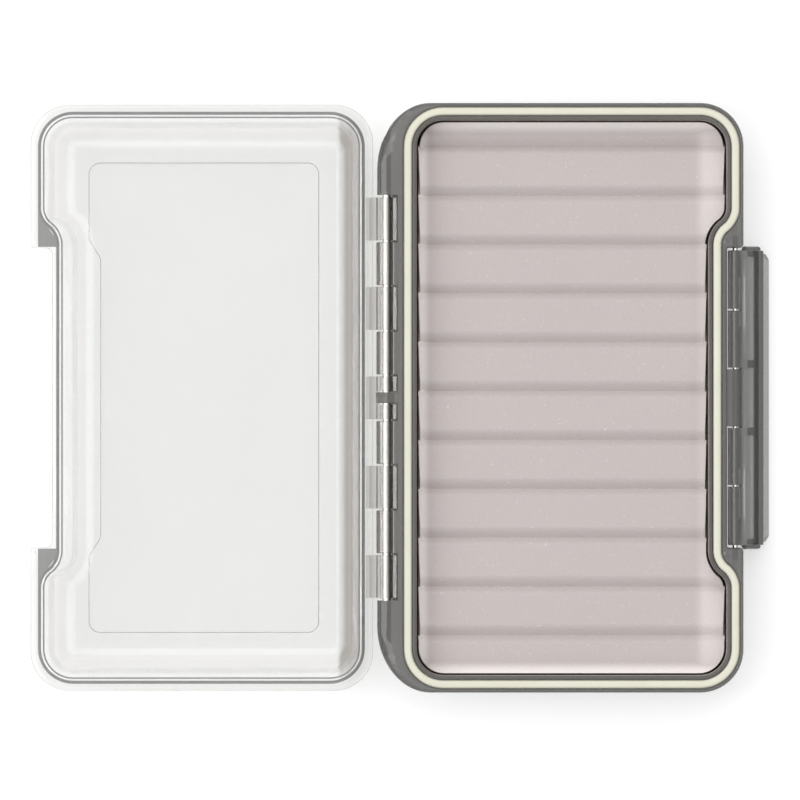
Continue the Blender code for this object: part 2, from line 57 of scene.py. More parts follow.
DRAFT = 0.01 * MM
LOG = logging.getLogger("fly_box")

Solid = bmesh.types.BMesh
Piece = bpy.types.Object
Socket = bpy.types.NodeSocket
Profile = list[tuple[float, float]]
Colour = tuple[float, float, float]
Spot = tuple[float, float, float]


def joint_place(name: str) -> Vector:
    """Where a joint's axis is.

    Args:
        name: the joint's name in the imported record.

    Returns:
        A point on the axis, in the row frame.
    """
    return Vector(next(joint["pos_m"] for joint in frame["joints"] if joint["name"] == name))


HINGE = joint_place("lid_hinge")
LATCH = joint_place("latch_hinge")


# ---- shapes ---------------------------------------------------------------------------------------


class Way(Enum):
    """The axis that a profile is extruded along."""

    X = (1, 0, 0)
    Y = (0, 1, 0)
    Z = (0, 0, 1)


class Skin(Enum):
    """Which of its piece's finishes a face takes; all but BODY paint shade or light."""

    BODY = 0
    EDGE = 1
    GLASSY = 2
    WALL = 3
    ARM = 4


@dataclass(frozen=True)
class Level:
    """One loop of a shell: its height, how far it lies inside its outline, and the rounding of its edge.

    The skin is the finish of the band that leads to this level from the one before it.
    """

    z: float
    side: float
    rear: float | None = None
    recess: float | None = None
    rounding: float = 0.0
    skin: Skin = Skin.BODY

    @classmethod
    def mm(cls, z: float, side: float, rear: float | None = None, recess: float | None = None,
           rounding: float = 0.0, skin: Skin = Skin.BODY) -> Level:
        """A level whose sizes are given in millimetres."""
        scaled = [None if value is None else value * MM for value in (z, side, rear, recess)]
        return cls(*scaled, rounding * MM, skin)

    def insets(self) -> tuple[float, float, float, float]:
        """Fills in the unset insets with the side's.

        Returns:
            The height, then the insets at the side, the rear and the recess.
        """
        rear = self.side if self.rear is None else self.rear
        recess = self.side if self.recess is None else self.recess
        return (self.z, self.side, rear, recess)


def eased(levels: list[Level], steps: int = 3) -> list[Level]:
    """Levels with more of them in between, on a smooth curve through them all.

    Args:
        levels: the levels to pass through.
        steps: how many bands stand where there was one.

    Returns:
        The longer list, whose first and last levels are unchanged.
    """
    points = [level.insets() for level in levels]
    result = [levels[0]]
    for i in range(1, len(levels)):
        before, start, end = points[max(i - 2, 0)], points[i - 1], points[i]
        after = points[min(i + 1, len(points) - 1)]
        for step in range(1, steps):
            t = step / steps
            weights = (-t + 2 * t**2 - t**3, 2 - 5 * t**2 + 3 * t**3, t + 4 * t**2 - 3 * t**3, t**3 - t**2)
            mixed = [
                0.5 * sum(w * v for w, v in zip(weights, values))
                for values in zip(before, start, end, after)
            ]
            result.append(Level(*mixed, skin=levels[i].skin))
        result.append(levels[i])
    return result


@dataclass(frozen=True)
class Outline:
    """A closed outline with a recess in its front edge, measured from the hinge axis.

    The recess runs between two swerves. Each swerve leaves the front edge at shoulder_y and meets the
    recess's own edge at step_y, and both of its bends are rounded.
    """

    rear: float
    front: float
    half: float
    recess: float
    corner: float
    shoulder_y: float
    shoulder_radius: float
    step_y: float
    step_radius: float
    rear_corner: float | None = None
    rear_stretch: float = 1.0
    corner_segments: int = 12
    swerve_segments: int = 7

    def corners(self, level: Level) -> list[tuple[Vector, float]]:
        """The eight corners of one level, counter-clockwise from the rear.

        Args:
            level: the loop to draw.

        Returns:
            Each corner's place and its rounding radius.
        """
        side = level.side
        _, _, rear_in, recess_in = level.insets()
        slope = (self.shoulder_y - self.step_y) / (self.front - self.recess)
        slant = recess_in * math.hypot(1.0, slope)
        shoulder_y = self.step_y + slope * (self.front - side - self.recess) + slant
        step_y = self.step_y - slope * recess_in + slant
        rear, front = self.rear + rear_in, self.front - side
        half, recess = self.half - side, self.recess - recess_in
        rear_radius = (self.rear_corner or self.corner) - rear_in
        upper = [
            (Vector((recess, step_y, level.z)), self.step_radius + recess_in),
            (Vector((front, shoulder_y, level.z)), self.shoulder_radius - recess_in),
            (Vector((front, half, level.z)), self.corner - side),
            (Vector((rear, half, level.z)), rear_radius),
        ]
        lower = [(Vector((place.x, -place.y, place.z)), radius) for place, radius in reversed(upper)]
        least = 0.12 * MM
        return [(place, max(least, radius)) for place, radius in lower + upper]

    def reaches(self, corners: list[tuple[Vector, float]]) -> list[float]:
        """How far each corner's rounding reaches along its edges, cut down where an edge is short.

        Args:
            corners: each corner's place and its rounding radius.

        Returns:
            A length for each corner.
        """
        count = len(corners)
        places = [place for place, _ in corners]
        edges = [places[(i + 1) % count] - places[i] for i in range(count)]
        wanted = [
            radius * math.tan(edges[i - 1].angle(edges[i]) / 2) for i, (_, radius) in enumerate(corners)
        ]
        cut = list(wanted)
        for i, edge in enumerate(edges):
            after = (i + 1) % count
            share = 0.98 * edge.length / (wanted[i] + wanted[after])
            cut[i] = min(cut[i], share * wanted[i])
            cut[after] = min(cut[after], share * wanted[after])
        return cut

    def add_loop(self, bm: Solid, level: Level) -> list[bmesh.types.BMEdge]:
        """Adds one rounded loop of edges.

        Args:
            bm: the mesh that gets the loop.
            level: its height and insets.

        Returns:
            The loop's edges.
        """
        corners = self.corners(level)
        reaches = self.reaches(corners)
        sketch = bmesh.new()
        verts = [sketch.verts.new(place) for place, _ in corners]
        sketch.faces.new(verts)
        rears = (0, len(corners) - 1)
        for i, vert in enumerate(verts):
            if i in rears:
                continue
            square = abs(corners[i][0].y) > self.half - level.side - 0.1 * MM
            segments = self.corner_segments if square else self.swerve_segments
            round_corner(sketch, vert, reaches[i], segments)
        squeeze = Vector((1, 1 / self.rear_stretch, 1))
        bmesh.ops.scale(sketch, vec=squeeze, verts=sketch.verts)
        for i in rears:
            round_corner(sketch, verts[i], reaches[i], self.corner_segments)
        bmesh.ops.scale(sketch, vec=(1, self.rear_stretch, 1), verts=sketch.verts)
        bmesh.ops.delete(sketch, geom=sketch.faces[:], context="FACES_ONLY")
        before = len(bm.edges)
        drawn = bpy.data.meshes.new("loop")
        sketch.to_mesh(drawn)
        sketch.free()
        bm.from_mesh(drawn)
        bpy.data.meshes.remove(drawn)
        bm.edges.ensure_lookup_table()
        return bm.edges[before:]


def round_corner(bm: Solid, vert: bmesh.types.BMVert, reach: float, segments: int) -> None:
    """Rounds one corner of a flat face, as far as reach along both of its edges."""
    bmesh.ops.bevel(bm, geom=[vert], offset=reach, offset_type="OFFSET", segments=segments, profile=0.5,
                    affect="VERTICES", clamp_overlap=False, material=-1)


def round_edges(bm: Solid, edges: list[bmesh.types.BMEdge], width: float,
                segments: int = 3) -> None:
    """Rounds edges to an arc of the given width."""
    bmesh.ops.bevel(bm, geom=edges, offset=width, offset_type="OFFSET", segments=segments, profile=0.5,
                    affect="EDGES", clamp_overlap=True, material=-1)


def loft(bm: Solid, runs: list[tuple[Outline, list[Level]]], closed: bool = False) -> None:
    """Skins a shell through the levels of one or more outlines.

    A level at the height of the one before it is raised a little, because two loops in one plane can't be
    bridged the right way round.

    Args:
        bm: the mesh that gets the shell.
        runs: outlines with the levels drawn on each, in order along the skin.
        closed: whether the last level joins the first, as in a ring, and not two caps.
    """
    loops = []
    for outline, level in [(outline, level) for outline, levels in runs for level in levels]:
        if loops and abs(loops[-1][0].z - level.z) < DRAFT:
            level = replace(level, z=loops[-1][0].z + DRAFT)
        loops.append((level, outline.add_loop(bm, level)))
    pairs = list(zip(loops, loops[1:]))
    if closed:
        pairs.append((loops[-1], loops[0]))
    for (_, low), (level, high) in pairs:
        for face in bmesh.ops.bridge_loops(bm, edges=low + high)["faces"]:
            face.material_index = level.skin.value
    if not closed:
        for level, loop in (loops[0], loops[-1]):
            for face in bmesh.ops.edgeloop_fill(bm, edges=loop)["faces"]:
                face.material_index = level.skin.value
    widths = sorted({level.rounding for level, _ in loops if level.rounding > 0})
    for width in widths:
        edges = [edge for level, loop in loops if level.rounding == width for edge in loop if edge.is_valid]
        round_edges(bm, edges, width)
    bmesh.ops.recalc_face_normals(bm, faces=bm.faces)


def add_prism(bm: Solid, profile: Profile, way: Way, low: float, high: float,
              rounding: float = 0.0, skin: Skin = Skin.BODY) -> None:
    """Adds a solid of one flat profile.

    Args:
        bm: the mesh that gets the solid.
        profile: XZ points for a run along Y, YZ points for X, and XY points for Z.
        way: the axis to extrude along.
        low: where the solid starts on that axis.
        high: where it ends.
        rounding: the width of the arc on its sharp edges.
        skin: the finish of its faces.
    """
    place = {
        Way.X: lambda a, b: (low, a, b),
        Way.Y: lambda a, b: (a, low, b),
        Way.Z: lambda a, b: (a, b, low),
    }[way]
    solid = bmesh.new()
    face = solid.faces.new([solid.verts.new(place(a, b)) for a, b in profile])
    extruded = bmesh.ops.extrude_face_region(solid, geom=[face])
    tops = [item for item in extruded["geom"] if isinstance(item, bmesh.types.BMVert)]
    bmesh.ops.translate(solid, vec=Vector(way.value) * (high - low), verts=tops)
    bmesh.ops.recalc_face_normals(solid, faces=solid.faces)
    if rounding:
        sharp = [edge for edge in solid.edges if edge.calc_face_angle(0.0) > math.radians(25)]
        round_edges(solid, sharp, rounding, 2)
    for face in solid.faces:
        face.material_index = skin.value
    made = bpy.data.meshes.new("solid")
    solid.to_mesh(made)
    solid.free()
    bm.from_mesh(made)
    bpy.data.meshes.remove(made)


def prisms(profile: Profile, runs: Profile, rounding: float = 0.0, skin: Skin = Skin.BODY) -> Solid:
    """Makes prisms of one profile along Y.

    Args:
        profile: its XZ points.
        runs: where each prism starts and ends along Y.
        rounding: the width of the arc on their sharp edges.
        skin: the finish of their faces.

    Returns:
        A solid that holds only the prisms.
    """
    bm = bmesh.new()
    for low, high in runs:
        add_prism(bm, profile, Way.Y, low, high, rounding, skin)
    return bm


def circle(radius: float, steps: int = 32) -> Profile:
    """A round profile about the axis."""
    return arc(radius, 0, 360, steps)[:-1]


def rectangle(low_a: float, high_a: float, low_b: float, high_b: float) -> Profile:
    """The four corners of a rectangle."""
    return [(low_a, low_b), (high_a, low_b), (high_a, high_b), (low_a, high_b)]


def arc(radius: float, start: float, end: float, steps: int) -> Profile:
    """Points on a circle about the axis, from one angle to another in degrees."""
    angles = [math.radians(start + (end - start) * step / steps) for step in range(steps + 1)]
    return [(radius * math.cos(angle), radius * math.sin(angle)) for angle in angles]


def shifted(profile: Profile, place: Vector) -> Profile:
    """An XZ profile moved to a joint's axis."""
    return [(x + place.x, z + place.z) for x, z in profile]


def piece(name: str, bm: Solid) -> Piece:
    """Makes an object at the origin, with an empty slot for each finish.

    Args:
        name: the object's name.
        bm: its shape, which is used up.

    Returns:
        The object, in the scene.
    """
    mesh = bpy.data.meshes.new(name)
    for _ in Skin:
        mesh.materials.append(None)
    bm.to_mesh(mesh)
    bm.free()
    obj = bpy.data.objects.new(name, mesh)
    bpy.context.scene.collection.objects.link(obj)
    return obj


class Mould(Enum):
    """What a tool solid does to a moulding."""

    ADD = "UNION"
    CUT = "DIFFERENCE"


def shape_with(obj: Piece, steps: list[tuple[Mould, Solid]]) -> None:
    """Adds and cuts solids in turn, and keeps only the result.

    Args:
        obj: the moulding.
        steps: what each tool solid does, and the solid, which is used up.
    """
    tools = []
    for i, (mould, bm) in enumerate(steps):
        tool = piece(f"{obj.name}_tool_{i}", bm)
        modifier = obj.modifiers.new(tool.name, "BOOLEAN")
        modifier.operation = mould.value
        modifier.solver = "EXACT"
        modifier.object = tool
        tools.append(tool)
    bpy.context.view_layer.update()
    graph = bpy.context.evaluated_depsgraph_get()
    result = bpy.data.meshes.new_from_object(obj.evaluated_get(graph))
    obj.modifiers.clear()
    obj.data = result
    for tool in tools:
        bpy.data.objects.remove(tool)


def smooth(obj: Piece, angle: float = 32.0) -> None:
    """Shades a piece smooth but for its sharp edges, and keeps its flats flat.

    Args:
        obj: the piece.
        angle: the least angle of a sharp edge, in degrees.
    """
    obj.data.shade_smooth()
    obj.data.set_sharp_from_angle(angle=math.radians(angle))
    flats = obj.modifiers.new("flats", "WEIGHTED_NORMAL")
    flats.keep_sharp = True
    flats.weight = 75


def knuckle_runs(first: int, spare: float = 0.0) -> Profile:
    """Where every second hinge knuckle starts and ends along Y.

    Args:
        first: 0 for the lid's knuckles, 1 for the tray's.
        spare: how much longer each run is at both ends.

    Returns:
        A start and an end for each knuckle.
    """
    half = (Hinge.pitch - Hinge.gap) / 2 + spare
    middles = [(i - (Hinge.count - 1) / 2) * Hinge.pitch for i in range(first, Hinge.count, 2)]
    return [(middle - half, middle + half) for middle in middles]


@dataclass(frozen=True)
class Hinge:
    """Sizes that the tray and the lid share at the hinge."""

    count: int = 9
    pitch: float = 11.37 * MM
    gap: float = 0.45 * MM
    radius: float = 2.6 * MM
    end_radius: float = 2.4 * MM
    bore: float = 1.15 * MM
    pin: float = 1.1 * MM
    cutout_half: float = 51.55 * MM
    pocket_edge: float = 2.85 * MM
    tab_half: float = 1.4 * MM
    pin_half: float = 65.0 * MM


SEAL = Outline(
    rear=5.4 * MM, front=88.8 * MM, half=72.9 * MM, recess=84.15 * MM, corner=9.0 * MM,
    shoulder_y=45.2 * MM, shoulder_radius=6.0 * MM, step_y=41.6 * MM, step_radius=5.0 * MM,
)


# ---- the mouldings --------------------------------------------------------------------------------


@dataclass
class Tray:
    """The smoke tray: pan, flange, gasket groove, hinge knuckles, pin blocks and latch lug."""

    width: float = 93.2 * MM
    half: float = 75.0 * MM
    height: float = 20.0 * MM
    floor: float = 1.8 * MM
    groove_half: float = 1.3 * MM
    groove_floor: float = 17.6 * MM
    ledge_inset: float = 2.25 * MM

    def outline(self) -> Outline:
        """The tray's outer edge.

        Returns:
            The outline, measured from the hinge axis.
        """
        rear = -Hinge.end_radius
        front = rear + self.width
        return Outline(
            rear=rear, front=front, half=self.half, recess=front - 4.2 * MM, corner=11.0 * MM,
            shoulder_y=38.1 * MM, shoulder_radius=1.0 * MM, step_y=38.1 * MM, step_radius=0.5 * MM,
            rear_corner=13.5 * MM, rear_stretch=17.0 / 13.5, corner_segments=16,
        )

    def shell(self) -> Solid:
        """The pan from its underside up the wall, over the flange and the groove, and down to its floor.

        Returns:
            The closed shell.
        """
        outside = [
            Level.mm(0.0, 5.4, 10.0, rounding=0.8),
            Level.mm(1.9, 3.7, 8.3, rounding=1.2),
            Level.mm(13.9, 2.7, 7.4, rounding=0.5),
            Level.mm(14.7, 0.5, 4.6, rounding=0.3),
        ]
        flange = []
        for step in range(9):
            angle = math.radians(-90 + 22.5 * step)
            rear = Hinge.end_radius * (1 - math.cos(angle))
            side = 0.35 * MM * max(0.0, abs(math.sin(angle)) * 4 - 3) ** 2
            flange.append(Level(HINGE.z + Hinge.end_radius * math.sin(angle), side, rear))
        top = self.height
        inner_rim = 19.5 * MM
        inside = [
            Level(top, -self.groove_half, rounding=0.15 * MM),
            Level(self.groove_floor, -self.groove_half),
            Level(self.groove_floor, self.groove_half),
            Level(inner_rim, self.groove_half, rounding=0.15 * MM),
            # Painted shade: the ledge takes a darker copy of the smoke plastic, the cavity wall an opaque
            # dull one.
            Level(inner_rim, self.ledge_inset, rounding=0.25 * MM, skin=Skin.WALL),
            Level(self.floor, self.ledge_inset + 0.15 * MM, rounding=0.6 * MM, skin=Skin.EDGE),
        ]
        bm = bmesh.new()
        loft(bm, [(self.outline(), outside + flange), (SEAL, inside)])
        bmesh.ops.translate(bm, vec=(HINGE.x, 0, 0), verts=bm.verts)
        return bm

    def hinge_step(self) -> Solid:
        """The cut that sets the knuckles' webs below the rim."""
        profile = rectangle(HINGE.x - 8 * MM, HINGE.x + Hinge.pocket_edge, self.height - 0.7 * MM, 30 * MM)
        return prisms(profile, [(-Hinge.cutout_half, Hinge.cutout_half)])

    def knuckle_pockets(self) -> Solid:
        """The cuts through the rear strip where the lid's knuckles turn, each with a round front.

        Returns:
            The cutters.
        """
        saddle = arc(Hinge.pocket_edge, -68.0, 0.0, 12)
        back, under, over = -8 * MM, -8 * MM, 12 * MM
        profile = [(back, under), (saddle[0][0], under), *saddle, (Hinge.pocket_edge, over), (back, over)]
        # Longer than the gaps, so that no face lies in the plane of a knuckle's end.
        runs = knuckle_runs(0, Hinge.gap + 0.06 * MM)
        runs[0] = (-Hinge.cutout_half - 0.01 * MM, runs[0][1])
        runs[-1] = (runs[-1][0], Hinge.cutout_half + 0.01 * MM)
        return prisms(shifted(profile, HINGE), runs)

    def knuckles(self) -> Solid:
        """The tray's four knuckles on their webs.

        Returns:
            The knuckles in one solid.
        """
        web_top, web_low = 1.5 * MM, -1.6 * MM
        root = SEAL.rear - self.groove_half - 0.3 * MM
        first = math.degrees(math.asin(web_top / Hinge.radius))
        last = 360 + math.degrees(math.asin(web_low / Hinge.radius))
        profile = [(root, web_top), *arc(Hinge.radius, first, last, 36), (root, web_low)]
        # The knuckles take a paler copy of the smoke plastic: painted light, so they read bright round the
        # pin.
        return prisms(shifted(profile, HINGE), knuckle_runs(1), 0.25 * MM, Skin.GLASSY)

    def tab(self) -> Solid:
        """The narrow tab in the middle of the hinge.

        Returns:
            The tab.
        """
        root = SEAL.rear - self.groove_half - 0.3 * MM
        profile = rectangle(-Hinge.radius - 0.1 * MM, root, -2.0 * MM, 2.3 * MM)
        return prisms(shifted(profile, HINGE), [(-Hinge.tab_half, Hinge.tab_half)], 0.25 * MM)

    def lug(self) -> Solid:
        """The lug in the recess that carries the latch's pin.

        Returns:
            The lug.
        """
        radius, root = Latch.barrel, -2.6 * MM
        profile = [(root, radius), *arc(radius, 90, -90, 18), (root, -radius)]
        return prisms(shifted(profile, LATCH), [(-Latch.lug_half, Latch.lug_half)], 0.25 * MM)

    def knuckle_bore(self) -> Solid:
        """The hinge pin's bore through the knuckles."""
        half = Hinge.cutout_half + 0.3 * MM
        return prisms(shifted(circle(Hinge.bore), HINGE), [(-half, half)], skin=Skin.GLASSY)

    def bores(self) -> Solid:
        """The bores of both pins, from end to end.

        Returns:
            The cutters.
        """
        bm = bmesh.new()
        end = 0.3 * MM
        hinge_bore = shifted(circle(Hinge.bore - 0.01 * MM), HINGE)
        latch_bore = shifted(circle(Latch.bore), LATCH)
        add_prism(bm, hinge_bore, Way.Y, -Hinge.pin_half - end, self.half + 5 * MM)
        add_prism(bm, latch_bore, Way.Y, -Latch.pin_half - end, Latch.pin_half + end)
        return bm

    def build(self) -> Piece:
        """The tray as one closed skin.

        Returns:
            The piece.
        """
        tray = piece("tray_moulding", self.shell())
        shape_with(tray, [
            (Mould.CUT, self.hinge_step()),
            (Mould.CUT, self.knuckle_pockets()),
            (Mould.ADD, self.knuckles()),
            (Mould.ADD, self.tab()),
            (Mould.ADD, self.lug()),
            (Mould.CUT, self.knuckle_bore()),
            (Mould.CUT, self.bores()),
        ])
        smooth(tray)
        return tray


@dataclass
class Lid:
    """The clear lid, open: its depth is below the hinge axis and it reaches towards -X."""

    face: float = -2.7 * MM
    lip_back: float = -4.0 * MM
    tongue_tip: float = -2.1 * MM
    panel_depth: float = 0.25 * MM
    web_height: float = 0.15 * MM

    def outline(self) -> Outline:
        """The lip's outer edge.

        Returns:
            The outline, measured from the hinge axis.
        """
        return Outline(
            rear=3.4 * MM, front=90.6 * MM, half=74.6 * MM, recess=85.15 * MM, corner=10.0 * MM,
            shoulder_y=38.0 * MM, shoulder_radius=0.8 * MM, step_y=38.0 * MM, step_radius=1.5 * MM,
            corner_segments=16,
        )

    def panel(self) -> Outline:
        """The shallow panel in the lid's outer face.

        Returns:
            The outline, measured from the hinge axis.
        """
        return Outline(
            rear=17.2 * MM, front=76.0 * MM, half=60.0 * MM, recess=73.0 * MM, corner=3.0 * MM,
            shoulder_y=40.2 * MM, shoulder_radius=3.0 * MM, step_y=35.6 * MM, step_radius=3.0 * MM,
            corner_segments=8,
        )

    def shell(self) -> Solid:
        """The shell from its outer face up to the lip, over the tongue and down inside.

        Returns:
            The closed shell, where the open lid has it.
        """
        outside = [
            Level.mm(-17.6, 6.4, 5.1, 6.6, rounding=0.8),
            Level.mm(-16.3, 4.1, 3.1, 4.9),
            Level.mm(-14.5, 2.9, 2.1, 4.0),
            Level.mm(-12.0, 2.0, 1.4, 3.4),
            Level.mm(-8.0, 1.1, 0.8, 2.8),
            Level.mm(-4.4, 0.4, 0.3, 2.3),
        ]
        lip = [
            Level(self.lip_back, 0.9 * MM, rounding=0.2 * MM),
            Level(self.lip_back, 0.0, rounding=0.25 * MM),
            Level(self.face, 0.0, rounding=0.25 * MM),
        ]
        # The tongue's slopes take the near-black edge finish: painted shade for the dark lines that
        # refraction gives there.
        tongue = [
            Level(self.face, 0.1 * MM),
            Level(self.tongue_tip, 0.9 * MM, skin=Skin.EDGE),
            Level(self.tongue_tip, 1.35 * MM),
            Level(self.tongue_tip - 0.4 * MM, 1.75 * MM, skin=Skin.EDGE),
        ]
        # These walls, and the outside ones below the lip, take the darker wall finish: painted shade.
        inside = [
            Level.mm(-2.8, 1.8, 1.8, 2.4),
            Level.mm(-4.4, 2.0, 1.95, 3.6, skin=Skin.WALL),
            Level.mm(-8.0, 2.7, 2.4, 4.3, skin=Skin.WALL),
            Level.mm(-11.5, 3.7, 3.1, 5.0, skin=Skin.WALL),
            Level.mm(-13.8, 5.1, 4.1, 5.9, skin=Skin.WALL),
            Level.mm(-15.3, 6.9, 5.5, 7.1, skin=Skin.WALL),
            Level.mm(-16.0, 8.8, 7.0, 8.8, skin=Skin.WALL),
            Level.mm(-16.02, 9.4, 7.6, 9.4),
        ]
        outside = outside[:1] + [replace(level, skin=Skin.WALL) for level in outside[1:]]
        bm = bmesh.new()
        wall = replace(SEAL, shoulder_y=42.4 * MM, step_y=39.9 * MM, step_radius=1.0 * MM)
        loft(bm, [(wall, eased(outside)), (self.outline(), lip), (SEAL, tongue), (wall, eased(inside))])
        return self.turn_over(bm)

    def turn_over(self, bm: Solid) -> Solid:
        """Takes a solid from hinge coordinates, reaching to +X, to where the open lid has it.

        Args:
            bm: the solid, which is changed.

        Returns:
            The same solid.
        """
        bmesh.ops.scale(bm, vec=(-1, 1, 1), verts=bm.verts)
        bmesh.ops.translate(bm, vec=HINGE, verts=bm.verts)
        bmesh.ops.recalc_face_normals(bm, faces=bm.faces)
        return bm

    def knuckles(self) -> Solid:
        """The lid's five knuckles, on arms that run through the lip.

        Returns:
            The knuckles in one solid, with their arms and fronts in the skin of arms.
        """
        root, shoulder, under = 5.35 * MM, 2.9 * MM, self.face + 0.05 * MM
        back = self.lip_back - 0.05 * MM
        profile = [(root, under), (shoulder, under), *arc(Hinge.radius, -32, 265, 36), (3.6 * MM, back)]
        profile.append((root, back))
        bm = prisms(profile, knuckle_runs(0), 0.12 * MM, Skin.GLASSY)
        # Painted shade: the arms and the knuckle's side towards the tray take the darker arm finish.
        for face in bm.faces:
            if not -1.3 * MM < face.calc_center_median().x < shoulder:
                face.material_index = Skin.ARM.value
        return self.turn_over(bm)

    def webs(self) -> Solid:
        """The thick web in each corner between the lip's step and the tongue's bend.

        Returns:
            Both webs in one solid.
        """
        bm = bmesh.new()
        corner = [(88.7, 47.6), (88.7, 38.4), (83.9, 38.4), (83.7, 40.2), (85.1, 41.9), (86.9, 44.3)]
        corner.append((88.0, 46.2))
        for side in (-1, 1):
            profile = [(x * MM, side * y * MM) for x, y in corner]
            low, high = self.face - 0.5 * MM, self.face + self.web_height
            # The webs take the near-black edge finish: painted shade for the dark patch at that bend.
            add_prism(bm, profile, Way.Z, low, high, skin=Skin.EDGE)
        return self.turn_over(bm)

    def catches(self) -> Solid:
        """Two blocks behind the recess's lip, for the latch's hook.

        Returns:
            Both blocks in one solid.
        """
        profile = rectangle(81.2 * MM, 84.6 * MM, -5.3 * MM, self.lip_back + 0.2 * MM)
        near, far = 17.8 * MM, 29.5 * MM
        return self.turn_over(prisms(profile, [(-far, -near), (near, far)]))

    def slot(self) -> Solid:
        """The slot that clears the tray's tab."""
        half = Hinge.tab_half + 0.3 * MM
        return self.turn_over(prisms(circle(3.75 * MM, 48), [(-half, half)]))

    def bore(self) -> Solid:
        """The hinge pin's bore."""
        half = Hinge.cutout_half + 5 * MM
        return self.turn_over(prisms(circle(Hinge.bore), [(-half, half)]))

    def label_panel(self) -> Solid:
        """The cut that leaves the shallow panel, with a slanting edge.

        Returns:
            The cutter.
        """
        bm = bmesh.new()
        bottom = -HINGE.z
        levels = [
            Level(bottom - 3 * MM, 0.0),
            Level(bottom, 0.0),
            # The panel's slanting edge takes the near-black edge finish: a painted shade line.
            Level(bottom + self.panel_depth, 0.18 * MM, skin=Skin.EDGE),
            Level(bottom + self.panel_depth, 0.6 * MM),
        ]
        loft(bm, [(self.panel(), levels)])
        return self.turn_over(bm)

    def build(self) -> Piece:
        """The lid as one closed skin.

        Returns:
            The piece.
        """
        lid = piece("lid_moulding", self.shell())
        shape_with(lid, [
            (Mould.ADD, self.knuckles()),
            (Mould.ADD, self.catches()),
            (Mould.ADD, self.webs()),
            (Mould.CUT, self.slot()),
            (Mould.CUT, self.bore()),
            (Mould.CUT, self.label_panel()),
        ])
        smooth(lid)
        return lid


